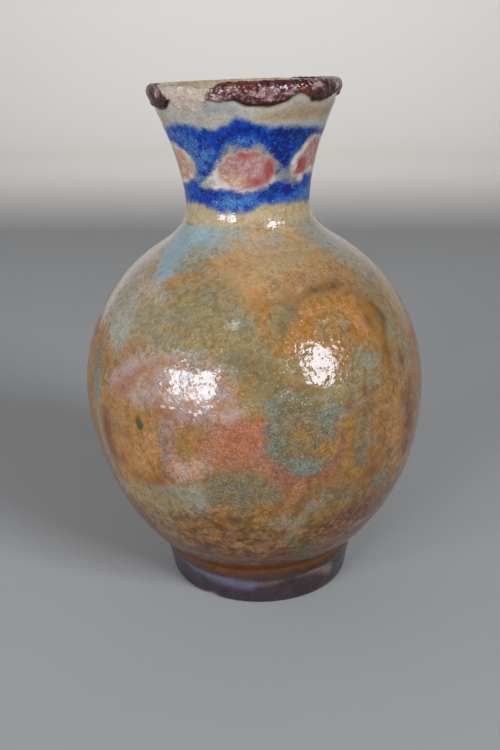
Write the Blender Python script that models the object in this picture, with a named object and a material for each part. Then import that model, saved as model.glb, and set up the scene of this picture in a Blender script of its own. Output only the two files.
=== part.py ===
"""Glazed pottery vase: a thrown pot with a round belly, a short flaring neck and a turned foot ring.

Metres, +Z up, with the front of the vase towards -Y. The origin is on the ground under the middle of the
belly. The pot leans to its left on a level foot, and its lip and its foot ring are chipped at the front.
"""

import math

import bmesh
import bpy
import numpy as np
from mathutils import Matrix, Vector

# Outside of the pot, before it leans
HEIGHT = 0.1807
LIP_RADIUS = 0.0327
NECK_HEIGHT = 0.1422
NECK_RADIUS = 0.0217
BELLY_HEIGHT = 0.0754
BELLY_RADIUS = 0.0615
FOOT_HEIGHT = 0.0118
FOOT_RADIUS = 0.0341
FOOT_SPREAD = 0.0020

# Thickness of the clay
WALL = 0.0045
LIP_THICKNESS = 0.0052
BASE_THICKNESS = 0.0065

# Turned underside
FOOT_RING_WIDTH = 0.0075
FOOT_RECESS = 0.0050
FOOT_EDGE_ROUND = 0.0012

# The body leans on its level foot, and bows the other way between the foot and the belly
LEAN = math.radians(1.95)
BOW = 0.0007

# Character of the curves: how far each arc runs, and how the blends and the neck's flare swell
SHOULDER_SHARE = 0.905
SHOULDER_END = math.radians(54)
FLARE_POWER = 1.6
LIP_START = math.radians(-27)
CREASE_RISE = 0.0033
BLEND_PULL = 0.45

# Chips, by angle round the pot from its front: where the lip has lost height, and one dent in the foot ring
LIP_CHIP_DEGREES = (-66, -60, -31, -27, -17, -13)
LIP_CHIP_DROPS = (0, 0.0010, 0.0011, 0.0019, 0.0019, 0)
LIP_CHIP_INSET = 0.0009
FOOT_CHIP_ANGLE = math.radians(-31)
FOOT_CHIP_HALF_WIDTH = math.radians(6)
FOOT_CHIP_DEPTH = 0.0011

# Facets round the pot, and points along each stretch of its profile
FACETS = 80
BELLY_POINTS = 8
SHOULDER_POINTS = 5
FLARE_POINTS = 7
LIP_POINTS = 8
EDGE_POINTS = 3
FLOOR_POINTS = 2
MERGE_DISTANCE = 1e-6
SHARP_ANGLE = math.radians(50)

# Colour bands by height on the upright pot, and the finish of each
NECK_BAND_FLOOR = 0.1342
NECK_BAND_TOP = 0.1647
FINISHES = {
    "manganese_lip": ((0.075, 0.030, 0.030, 1), 0.16),
    "cream_glaze": ((0.520, 0.380, 0.220, 1), 0.22),
    "cobalt_band": ((0.030, 0.070, 0.360, 1), 0.20),
    "honey_glaze": ((0.400, 0.255, 0.110, 1), 0.24),
    "lavender_foot": ((0.270, 0.230, 0.270, 1), 0.30),
    "bare_clay": ((0.480, 0.330, 0.230, 1), 0.85),
}
FINISH_ORDER = list(FINISHES)


def arc(centre, radii, start, end, count):
    """Points (r, z) on an ellipse about centre, from one angle to another."""
    angles = np.linspace(start, end, count)
    return np.column_stack([centre[0] + radii[0] * np.cos(angles), centre[1] + radii[1] * np.sin(angles)])


def round_arc(centre, radius, start, end, count):
    """Points (r, z) on a circle about centre, from one angle to another."""
    return arc(centre, (radius, radius), start, end, count)


def blend(start, start_heading, end, end_heading, count):
    """A cubic that leaves start along one heading and meets end along another, without its two ends."""
    reach = BLEND_PULL * np.linalg.norm(np.subtract(end, start))
    handles = [
        np.array(start),
        np.array(start) + reach * np.array(start_heading),
        np.array(end) - reach * np.array(end_heading),
        np.array(end),
    ]
    share = np.linspace(0, 1, count + 2)[1:-1, None]
    weights = [(1 - share) ** 3, 3 * share * (1 - share) ** 2, 3 * share**2 * (1 - share), share**3]
    return sum(weight * handle for weight, handle in zip(weights, handles))


def heading(angle, radii):
    """Unit direction of travel on an ellipse at an angle, the angle growing."""
    step = np.array([-radii[0] * math.sin(angle), radii[1] * math.cos(angle)])
    return step / np.linalg.norm(step)


def lip_centre():
    """Middle of the round that forms the lip."""
    return np.array([LIP_RADIUS - LIP_THICKNESS / 2, HEIGHT - LIP_THICKNESS / 2])


def lip_profile():
    """The round of the lip, from the neck's outside over the top to its inside."""
    return round_arc(lip_centre(), LIP_THICKNESS / 2, LIP_START, math.pi + LIP_START, LIP_POINTS)


def outer_profile():
    """Outside of the pot from the foot ring's top to the start of the lip, as points (r, z)."""
    foot_top = np.array([FOOT_RADIUS + FOOT_SPREAD, FOOT_HEIGHT])
    belly_start = foot_top + (0, CREASE_RISE)
    cosine = belly_start[0] / BELLY_RADIUS
    lower_rise = (BELLY_HEIGHT - belly_start[1]) / math.sqrt(1 - cosine**2)
    upper_rise = SHOULDER_SHARE * (NECK_HEIGHT - BELLY_HEIGHT)
    centre = (0, BELLY_HEIGHT)
    lower = arc(centre, (BELLY_RADIUS, lower_rise), -math.acos(cosine), 0, BELLY_POINTS)
    upper = arc(centre, (BELLY_RADIUS, upper_rise), 0, SHOULDER_END, BELLY_POINTS)
    neck = np.array([NECK_RADIUS, NECK_HEIGHT])
    onward = heading(SHOULDER_END, (BELLY_RADIUS, upper_rise))
    shoulder = blend(upper[-1], onward, neck, (0, 1), SHOULDER_POINTS)
    share = np.linspace(0, 1, FLARE_POINTS)[:, None]
    flare = neck + (lip_profile()[0] - neck) * np.hstack([share**FLARE_POWER, share])
    return np.vstack([foot_top, lower, upper[1:], shoulder, flare])


def inner_profile(outer):
    """Inside of the pot from the lip down to the floor: the outer surface, set in by the clay's thickness."""
    along = np.gradient(outer, axis=0)
    along /= np.linalg.norm(along, axis=1, keepdims=True)
    outward = np.column_stack([along[:, 1], -along[:, 0]])
    to_lip = np.clip((outer[:, 1] - NECK_HEIGHT) / (HEIGHT - NECK_HEIGHT), 0, 1)
    thickness = WALL + (LIP_THICKNESS - WALL) * to_lip
    inner = (outer - outward * thickness[:, None])[::-1]
    floor = FOOT_RECESS + BASE_THICKNESS
    kept = inner[1:-1][inner[1:-1, 1] > floor + WALL]
    down = kept[-1] - kept[-2]
    end = blend(kept[-1], down / np.linalg.norm(down), (0, floor), (-1, 0), FLOOR_POINTS)
    every_second = kept[::-2][::-1]
    return np.vstack([every_second, end, (0, floor)])


def underside_profile():
    """Foot ring from the middle of the recess to its outer edge, with a flat ring on the ground."""
    edge = FOOT_EDGE_ROUND
    inside = FOOT_RADIUS - FOOT_RING_WIDTH
    inner_edge = round_arc((inside + edge, edge), edge, math.pi, 1.5 * math.pi, EDGE_POINTS)
    outer_edge = round_arc((FOOT_RADIUS - edge, edge), edge, -math.pi / 2, 0, EDGE_POINTS)
    return np.vstack([(0, FOOT_RECESS), (inside - edge, FOOT_RECESS), inner_edge, outer_edge])


def whole_profile():
    """Closed outline from the axis under the pot, up its outside, over the lip and down to the floor."""
    outer = outer_profile()
    return np.vstack([underside_profile(), outer, lip_profile()[1:], inner_profile(outer)])


def angle_from_front(x, y):
    """Angle round the pot, 0 at the front and growing towards +X."""
    return math.atan2(x, -y)


def lip_drop(angle):
    """Height that the lip has lost at this angle."""
    return float(np.interp(math.degrees(angle), LIP_CHIP_DEGREES, LIP_CHIP_DROPS))


def chipped(point):
    """The point after the lip and the foot ring have lost their chips."""
    radius = math.hypot(point.x, point.y)
    if radius == 0:
        return point
    angle = angle_from_front(point.x, point.y)
    new_radius = radius
    height = point.z
    drop = lip_drop(angle)
    lip_mid_radius, lip_mid_height = lip_centre()
    if drop > 0 and height > lip_mid_height - LIP_THICKNESS / 2:
        height = min(height, HEIGHT - drop)
        if radius > lip_mid_radius:
            worn = drop / max(LIP_CHIP_DROPS)
            new_radius -= LIP_CHIP_INSET * worn * (radius - lip_mid_radius) / (LIP_THICKNESS / 2)
    across = abs(angle - FOOT_CHIP_ANGLE) / FOOT_CHIP_HALF_WIDTH
    if across < 1 and height < FOOT_HEIGHT / 2 and radius > FOOT_RADIUS - FOOT_RING_WIDTH / 2:
        new_radius -= FOOT_CHIP_DEPTH * math.cos(across * math.pi / 2) * (1 - height / (FOOT_HEIGHT / 2))
    return Vector((point.x * new_radius / radius, point.y * new_radius / radius, height))


def leaned(point):
    """The point after the body has leaned to the left about the top of the foot, and bowed below the belly."""
    share = min(1, point.z / FOOT_HEIGHT)
    pivot = Vector((0, 0, FOOT_HEIGHT))
    rise = min(max((point.z - FOOT_HEIGHT) / (BELLY_HEIGHT - FOOT_HEIGHT), 0), 1)
    bow = Vector((BOW * math.sin(math.pi * rise), 0, 0))
    return Matrix.Rotation(-LEAN * share, 3, "Y") @ (point - pivot) + pivot + bow


def foot_offset():
    """Place of the foot's middle that brings the leaning belly over the origin."""
    return Vector((math.sin(LEAN) * (BELLY_HEIGHT - FOOT_HEIGHT), 0, 0))


def finish_of(face):
    """Name of the finish of a face on the upright, whole pot."""
    middle = face.calc_center_median()
    inside = face.normal.x * middle.x + face.normal.y * middle.y < 0
    if middle.z < FOOT_HEIGHT:
        return "lavender_foot"
    if middle.z > HEIGHT - LIP_THICKNESS:
        return "bare_clay" if lip_drop(angle_from_front(middle.x, middle.y)) > 0 else "manganese_lip"
    if inside or middle.z > NECK_BAND_TOP:
        return "cream_glaze"
    return "cobalt_band" if middle.z > NECK_BAND_FLOOR else "honey_glaze"


def make_finish(name):
    """Principled material of one glaze."""
    colour, roughness = FINISHES[name]
    material = bpy.data.materials.new(name)
    material.use_nodes = True
    shader = material.node_tree.nodes["Principled BSDF"]
    shader.inputs["Base Color"].default_value = colour
    shader.inputs["Roughness"].default_value = roughness
    shader.inputs["Metallic"].default_value = 0
    material.diffuse_color = colour
    return material


def turn_profile(points):
    """A closed mesh: the profile turned about the Z axis."""
    bm = bmesh.new()
    verts = [bm.verts.new((0, -radius, height)) for radius, height in points]
    edges = [bm.edges.new(pair) for pair in zip(verts, verts[1:])]
    bmesh.ops.spin(
        bm,
        geom=verts + edges,
        cent=(0, 0, 0),
        axis=(0, 0, 1),
        angle=2 * math.pi,
        steps=FACETS,
        use_merge=True,
    )
    bmesh.ops.remove_doubles(bm, verts=bm.verts[:], dist=MERGE_DISTANCE)
    bmesh.ops.recalc_face_normals(bm, faces=bm.faces[:])
    return bm


def make_vase():
    """The pot as one object, turned, chipped and leaning."""
    bm = turn_profile(whole_profile())
    for face in bm.faces:
        face.material_index = FINISH_ORDER.index(finish_of(face))
    for vert in bm.verts:
        vert.co = leaned(chipped(vert.co)) + foot_offset()
    bmesh.ops.triangulate(bm, faces=bm.faces[:])
    mesh = bpy.data.meshes.new("vase")
    bm.to_mesh(mesh)
    bm.free()
    for name in FINISH_ORDER:
        mesh.materials.append(make_finish(name))
    mesh.shade_smooth()
    mesh.set_sharp_from_angle(angle=SHARP_ANGLE)
    vase = bpy.data.objects.new("vase", mesh)
    bpy.context.scene.collection.objects.link(vase)
    return vase


for old in list(bpy.data.objects):
    bpy.data.objects.remove(old)
make_vase()
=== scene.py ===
"""Glazed pottery vase: the thrown pot of the CAD frame, dressed in its painted and fired glazes.

The pot is one closed shell turned from one outline. Everything on it is placed by two coordinates: the angle
round the pot in degrees, 0 at the front and growing towards +X, and the distance in millimetres along the
outline from the ground, up the outside, over the lip and down the inside. Lengths in this file are nominal
millimetres, and the height of the CAD pot gives the size of one of them.
"""

import logging
import math
from dataclasses import dataclass
from enum import Enum

import bpy
import numpy as np
from mathutils import Matrix, Vector


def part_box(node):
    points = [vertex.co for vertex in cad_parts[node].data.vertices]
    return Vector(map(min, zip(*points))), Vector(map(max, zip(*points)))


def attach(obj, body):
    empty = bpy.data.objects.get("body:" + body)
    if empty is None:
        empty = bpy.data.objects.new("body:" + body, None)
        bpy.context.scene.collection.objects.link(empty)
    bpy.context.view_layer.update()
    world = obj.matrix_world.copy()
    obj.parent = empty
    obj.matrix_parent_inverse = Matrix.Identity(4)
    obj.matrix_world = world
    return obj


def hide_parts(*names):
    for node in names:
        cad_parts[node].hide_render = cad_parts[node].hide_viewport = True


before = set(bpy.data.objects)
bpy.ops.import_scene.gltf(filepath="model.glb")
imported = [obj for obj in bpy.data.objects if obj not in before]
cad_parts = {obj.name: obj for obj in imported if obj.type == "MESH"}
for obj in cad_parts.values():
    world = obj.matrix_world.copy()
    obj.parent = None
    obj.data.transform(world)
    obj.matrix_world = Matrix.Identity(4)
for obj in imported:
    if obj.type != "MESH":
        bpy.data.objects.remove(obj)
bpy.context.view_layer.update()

LOG = logging.getLogger("vase")
NODE = "vase"
BODY = "root"
FULL_TURN = 360.0
NOMINAL_CAD_HEIGHT = 181.57
WINDOW_TONE = (231, 241, 255)
FAR_OUTSIDE = -1e3
WASH_LIMIT = 12.0
FIELD_LIMIT = 8.0

Tone = tuple[float, float, float]
Factors = tuple[float, float, float]
Colour = tuple[float, float, float, float]
Socket = bpy.types.NodeSocket


def linear(tone: Tone) -> Colour:
    """Linear colour of an 8-bit display tone: the sRGB curve undone.

    Args:
        tone: red, green and blue, 0 to 255.

    Returns:
        Red, green, blue and an alpha of 1.
    """
    share = np.array(tone) / 255
    low = share / 12.92
    high = ((share + 0.055) / 1.055) ** 2.4
    red, green, blue = np.where(share <= 0.04045, low, high)
    return float(red), float(green), float(blue), 1.0


def soft_step(value: np.ndarray, low: float, high: float) -> np.ndarray:
    """Smooth rise from 0 to 1 between two values: 3t^2 - 2t^3 of the clamped share t."""
    share = np.clip((value - low) / (high - low), 0, 1)
    return share * share * (3 - 2 * share)


def bell(value: np.ndarray, middle: float, width: float) -> np.ndarray:
    """Bell curve: 1 at the middle, and e^-1 one width away."""
    return np.exp(-(((value - middle) / width) ** 2))


class Tint(Enum):
    """Mean display tone of each glaze, stain, painted shade and painted highlight, before the fired speckle
    plays over it.
    """

    TAN = (163, 133, 97)
    BEIGE = (154, 138, 122)
    FAIR = (178, 167, 156)
    FAWN = (140, 115, 88)
    KHAKI = (110, 92, 64)
    PINK = (162, 128, 112)
    PEACH = (165, 127, 89)
    ORANGE = (148, 104, 56)
    OLIVE = (130, 114, 84)
    ASH = (138, 134, 122)
    GREY = (122, 118, 104)
    SALMON = (153, 128, 118)
    ROSE = (136, 106, 98)
    CORAL = (142, 94, 74)
    CORAL_RED = (146, 82, 68)
    BLUSH = (136, 94, 80)
    APRICOT = (150, 104, 66)
    GLOW = (168, 122, 80)
    RUSSET = (104, 60, 28)
    COMMA = (122, 80, 63)
    COMMA_LEG = (140, 96, 66)
    SAGE = (106, 93, 72)
    TEAL = (100, 102, 92)
    SKY = (131, 148, 158)
    HAZE = (135, 139, 131)
    OCHRE = (136, 98, 44)
    VEIL = (136, 124, 106)
    UMBER = (64, 36, 16)
    RUST = (82, 34, 8)
    BISTRE = (80, 50, 18)
    # Painted glints, and a pale fleck.
    GLINT_AND_PALE_FLECK = (186, 172, 148)
    MOSS = (54, 64, 32)
    IRON = (48, 14, 8)
    COBALT_DEEP = (0, 16, 94)
    COBALT = (0, 48, 134)
    COBALT_TEAL = (0, 74, 126)
    COBALT_FROTH = (80, 122, 150)
    COBALT_MILK = (70, 108, 148)
    COBALT_EDGE = (94, 112, 122)
    HALO = (176, 166, 154)
    HALO_RIM = (136, 122, 88)
    MEDALLION = (155, 118, 112)
    MEDALLION_RED = (142, 68, 66)
    MEDALLION_PALE = (172, 140, 116)
    HALO_OCHRE = (130, 122, 96)
    CREAM = (155, 146, 135)
    HONEY_RING = (161, 140, 107)
    OCHRE_STAIN = (146, 122, 88)
    SMEAR = (124, 130, 130)
    MANGANESE = (76, 36, 34)
    MANGANESE_FROTH = (160, 132, 127)
    # Near black: painted shade on the lip's rolled edge in part, and dark blotches.
    MANGANESE_DARK_AND_SHADE = (32, 6, 5)
    AMBER = (110, 54, 22)
    LIP_FRINGE = (124, 84, 62)
    BARE_CLAY = (174, 155, 137)
    # Foot tones, darkened as painted shade under the belly.
    SHADED_LAVENDER = (48, 38, 42)
    SHADED_FOOT_ROSE = (52, 38, 35)
    FOOT_ROLL = (60, 47, 40)
    FOOT_ROLL_DARK = (42, 30, 24)
    # Painted highlight on the foot, and a blush that is partly painted highlight.
    FOOT_PAINTED_SHEEN = (90, 86, 102)
    FOOT_BLUSH_AND_HIGHLIGHT = (124, 102, 98)
    FOOT_CLAY = (116, 76, 50)
    INSIDE = (166, 148, 120)

    @property
    def colour(self) -> Colour:
        """Linear colour of the tone."""
        return linear(self.value)


@dataclass(frozen=True)
class PotForm:
    """Turned form of the pot before it chips and leans, in nominal millimetres.

    The outside is a foot ring, an ellipse arc up to the belly, another over the shoulder, a cubic into the
    neck and a power curve that flares out to the round of the lip.
    """

    height: float = 180.7
    lip_radius: float = 32.7
    lip_thickness: float = 5.2
    lip_start: float = math.radians(-27)
    neck_height: float = 142.2
    neck_radius: float = 21.7
    belly_height: float = 75.4
    belly_radius: float = 61.5
    shoulder_share: float = 0.905
    shoulder_end: float = math.radians(54)
    flare_power: float = 1.6
    foot_height: float = 11.8
    foot_radius: float = 34.1
    foot_spread: float = 2.0
    foot_edge: float = 1.2
    foot_ring_width: float = 7.5
    foot_recess: float = 5.0
    crease_rise: float = 3.3
    wall: float = 4.5
    base_thickness: float = 6.5
    blend_pull: float = 0.45
    lean: float = math.radians(1.95)
    bow: float = 0.7
    fineness: int = 160

    def arc(
        self, centre: tuple[float, float], radii: tuple[float, float], start: float, end: float
    ) -> np.ndarray:
        """Points (r, z) on an ellipse: centre plus the radii times the cosine and sine of even angles."""
        angle = np.linspace(start, end, self.fineness)
        return np.column_stack([centre[0] + radii[0] * np.cos(angle), centre[1] + radii[1] * np.sin(angle)])

    def blend(
        self, start: np.ndarray, onward: np.ndarray, end: np.ndarray, arriving: np.ndarray
    ) -> np.ndarray:
        """Cubic between two points with the headings given at both, without its ends.

        Args:
            start, end: points (r, z).
            onward, arriving: unit headings there.

        Returns:
            Points (r, z) of the Bezier whose handles reach the blend's pull times the distance.
        """
        reach = self.blend_pull * np.linalg.norm(end - start)
        share = np.linspace(0, 1, self.fineness)[1:-1, None]
        handles = (start, start + reach * onward, end - reach * arriving, end)
        weights = ((1 - share) ** 3, 3 * share * (1 - share) ** 2, 3 * share**2 * (1 - share), share**3)
        return sum(weight * handle for weight, handle in zip(weights, handles))

    def lip_centre(self) -> tuple[float, float]:
        """Middle (r, z) of the round that forms the lip."""
        return self.lip_radius - self.lip_thickness / 2, self.height - self.lip_thickness / 2

    def lip(self) -> np.ndarray:
        """Round of the lip, from the neck's outside over the top to its inside."""
        half = self.lip_thickness / 2
        return self.arc(self.lip_centre(), (half, half), self.lip_start, math.pi + self.lip_start)

    def outside(self) -> np.ndarray:
        """Outside from the top of the foot ring to the start of the lip, as points (r, z)."""
        foot_top = np.array([self.foot_radius + self.foot_spread, self.foot_height])
        belly_start = foot_top + (0, self.crease_rise)
        cosine = belly_start[0] / self.belly_radius
        lower_rise = (self.belly_height - belly_start[1]) / math.sqrt(1 - cosine**2)
        upper_rise = self.shoulder_share * (self.neck_height - self.belly_height)
        centre = (0.0, self.belly_height)
        lower = self.arc(centre, (self.belly_radius, lower_rise), -math.acos(cosine), 0)
        upper = self.arc(centre, (self.belly_radius, upper_rise), 0, self.shoulder_end)
        inward, rise = -math.sin(self.shoulder_end), math.cos(self.shoulder_end)
        onward = np.array([self.belly_radius * inward, upper_rise * rise])
        neck = np.array([self.neck_radius, self.neck_height])
        shoulder = self.blend(upper[-1], onward / np.linalg.norm(onward), neck, np.array([0.0, 1.0]))
        share = np.linspace(0, 1, self.fineness)[:, None]
        flare = neck + (self.lip()[0] - neck) * np.hstack([share**self.flare_power, share])
        return np.vstack([foot_top, lower, upper[1:], shoulder, flare])

    def inside(self, outside: np.ndarray) -> np.ndarray:
        """Inside from the lip to the middle of the floor: the outside set in by the clay's thickness.

        Args:
            outside: points (r, z) of the outside, from the foot up.

        Returns:
            Points (r, z), from below the lip down to the axis.
        """
        along = np.gradient(outside, axis=0)
        along /= np.linalg.norm(along, axis=1, keepdims=True)
        outward = np.column_stack([along[:, 1], -along[:, 0]])
        to_lip = np.clip((outside[:, 1] - self.neck_height) / (self.height - self.neck_height), 0, 1)
        thickness = self.wall + (self.lip_thickness - self.wall) * to_lip
        inner = (outside - outward * thickness[:, None])[::-1]
        floor = self.foot_recess + self.base_thickness
        kept = inner[1:-1][inner[1:-1, 1] > floor + self.wall]
        down = kept[-1] - kept[-2]
        end = self.blend(kept[-1], down / np.linalg.norm(down), np.array([0.0, floor]), np.array([-1.0, 0.0]))
        return np.vstack([kept, end, (0, floor)])

    def underside(self) -> np.ndarray:
        """Recess and foot ring, from the axis to the outer edge on the ground."""
        edge = self.foot_edge
        inner = self.foot_radius - self.foot_ring_width
        inner_edge = self.arc((inner + edge, edge), (edge, edge), math.pi, 1.5 * math.pi)
        return np.vstack([(0, self.foot_recess), (inner - edge, self.foot_recess), inner_edge])

    def outline(self) -> tuple[np.ndarray, np.ndarray]:
        """Whole outline of the clay.

        Returns:
            Points (r, z), and the distance along the outline from the foot's outer edge on the ground.
        """
        edge = self.foot_edge
        outer_edge = self.arc((self.foot_radius - edge, edge), (edge, edge), -math.pi / 2, 0)
        outside = self.outside()
        under = self.underside()
        points = np.vstack([under, outer_edge, outside, self.lip()[1:], self.inside(outside)[1:]])
        steps = np.hypot(*np.diff(points, axis=0).T)
        along = np.concatenate([[0], np.cumsum(steps)])
        return points, along - along[len(under)]

    def leaned(self, points: np.ndarray) -> np.ndarray:
        """Points after the body has leaned to the left on its level foot and bowed back below the belly.

        Each point turns about the foot's top by the lean, less within the foot, then moves sideways by the
        bow times the sine of its rise to the belly, and the whole shifts to bring the belly over the origin.

        Args:
            points: points of the upright pot, x, y and z on the last axis.

        Returns:
            The moved points, in an array of the same shape.
        """
        x, y, z = points[..., 0], points[..., 1], points[..., 2]
        turn = -self.lean * np.clip(z / self.foot_height, 0, 1)
        reach = z - self.foot_height
        rise = np.clip(reach / (self.belly_height - self.foot_height), 0, 1)
        shift = math.sin(self.lean) * (self.belly_height - self.foot_height)
        new_x = x * np.cos(turn) + reach * np.sin(turn) + self.bow * np.sin(math.pi * rise) + shift
        new_z = -x * np.sin(turn) + reach * np.cos(turn) + self.foot_height
        return np.stack([new_x, y, new_z], axis=-1)


@dataclass(frozen=True)
class Chart:
    """Unrolled surface: for each point its angle, distance along, radius and place on the bare pot."""

    angle: np.ndarray
    along: np.ndarray
    radius: np.ndarray
    place: np.ndarray

    def across(self, angle: float) -> np.ndarray:
        """Signed millimetres round the pot from an angle to each point, the short way."""
        turn = (self.angle - angle + FULL_TURN / 2) % FULL_TURN - FULL_TURN / 2
        return np.radians(turn) * self.radius


@dataclass(frozen=True)
class Ripple:
    """Smooth random field: plane waves of about one length with random headings and phases, summed."""

    seed: int
    length: float
    waves: int = 30

    def on(self, place: np.ndarray) -> np.ndarray:
        """Field of about unit spread: sqrt(2 / waves) times the sum of cos(heading . place + phase).

        Args:
            place: points, x, y and z on the last axis.

        Returns:
            The value at each point.
        """
        draw = np.random.default_rng(self.seed)
        headings = draw.normal(size=(self.waves, 3))
        headings /= np.linalg.norm(headings, axis=1, keepdims=True)
        headings *= 2 * math.pi / (self.length * draw.uniform(0.7, 1.5, (self.waves, 1)))
        phases = draw.uniform(0, 2 * math.pi, self.waves)
        total = np.zeros(place.shape[:-1])
        for heading, phase in zip(headings, phases):
            total += np.cos(place @ heading + phase)
        return total * math.sqrt(2 / self.waves)


def rippled(place: np.ndarray, ripples: tuple[tuple[float, int, float], ...]) -> np.ndarray:
    """Sum of ripples, each given by its height, its seed and its length."""
    return sum(height * Ripple(seed, length).on(place) for height, seed, length in ripples)


@dataclass(frozen=True)
class Dab:
    """Oval touch of the brush: its middle, half width and half height, and its tilt in degrees."""

    angle: float
    along: float
    half_width: float
    half_height: float
    tilt: float = 0.0

    def depth(self, chart: Chart) -> np.ndarray:
        """Millimetres inside the oval, negative outside: (1 - its scaled distance) times the smaller half.

        Args:
            chart: the unrolled surface.

        Returns:
            The depth at each point.
        """
        across, up = chart.across(self.angle), chart.along - self.along
        cosine, sine = math.cos(math.radians(self.tilt)), math.sin(math.radians(self.tilt))
        wide = (across * cosine + up * sine) / self.half_width
        high = (up * cosine - across * sine) / self.half_height
        return (1 - np.hypot(wide, high)) * min(self.half_width, self.half_height)


@dataclass(frozen=True)
class Stroke:
    """Brush stroke through points (angle, distance along, half width)."""

    path: tuple[tuple[float, float, float], ...]

    def depth(self, chart: Chart) -> np.ndarray:
        """Millimetres inside the stroke: half width less the distance to the nearest point of its line.

        Args:
            chart: the unrolled surface.

        Returns:
            The depth at each point, negative outside.
        """
        best = np.full(chart.along.shape, FAR_OUTSIDE)
        for (angle, along, half), (next_angle, next_along, next_half) in zip(self.path, self.path[1:]):
            across, up = chart.across(angle), chart.along - along
            run = np.radians(next_angle - angle) * chart.radius
            rise = next_along - along
            share = np.clip((across * run + up * rise) / (run**2 + rise**2), 0, 1)
            distance = np.hypot(across - share * run, up - share * rise)
            best = np.maximum(best, half + share * (next_half - half) - distance)
        return best


def strokes(*paths: tuple) -> tuple[Stroke, ...]:
    """Several strokes from their paths."""
    return tuple(Stroke(path) for path in paths)


def dabs(*ovals: tuple) -> tuple[Dab, ...]:
    """Several dabs from their values."""
    return tuple(Dab(*oval) for oval in ovals)


def union(shapes: tuple, chart: Chart) -> np.ndarray:
    """Millimetres inside the nearest of several shapes.

    Args:
        shapes: dabs and strokes.
        chart: the unrolled surface.

    Returns:
        The largest of their depths at each point.
    """
    best = np.full(chart.along.shape, FAR_OUTSIDE)
    for shape in shapes:
        best = np.maximum(best, shape.depth(chart))
    return best


@dataclass(frozen=True)
class Contour:
    """Closed edge round the pot: distance along against the angle, through named points."""

    angles: tuple[float, ...]
    alongs: tuple[float, ...]

    def at(self, angle: np.ndarray) -> np.ndarray:
        """Distance along at each angle: straight runs between the points, averaged over 6 degrees."""
        spread = np.linspace(-3, 3, 7)
        runs = [np.interp(angle + shift, self.angles, self.alongs, period=FULL_TURN) for shift in spread]
        return sum(runs) / len(runs)


@dataclass(frozen=True)
class Wash:
    """One colour laid on the body: its edge, how it stills the speckle or roughens it, and where it lies."""

    name: str
    tint: Tint
    softness: float
    ragged: float
    strength: float = 1.0
    calm: float = 0.0
    grit: float = 0.0
    shapes: tuple = ()
    wander: float = 0.2
    wander_per_softness: float = 0.3

    def depth(self, chart: Chart, wander: np.ndarray) -> np.ndarray:
        """Millimetres inside the wash, its edge moved by the wander field in keeping with its softness."""
        moved = union(self.shapes, chart) + wander * (self.wander + self.wander_per_softness * self.softness)
        return np.clip(moved, -WASH_LIMIT, WASH_LIMIT)


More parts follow.
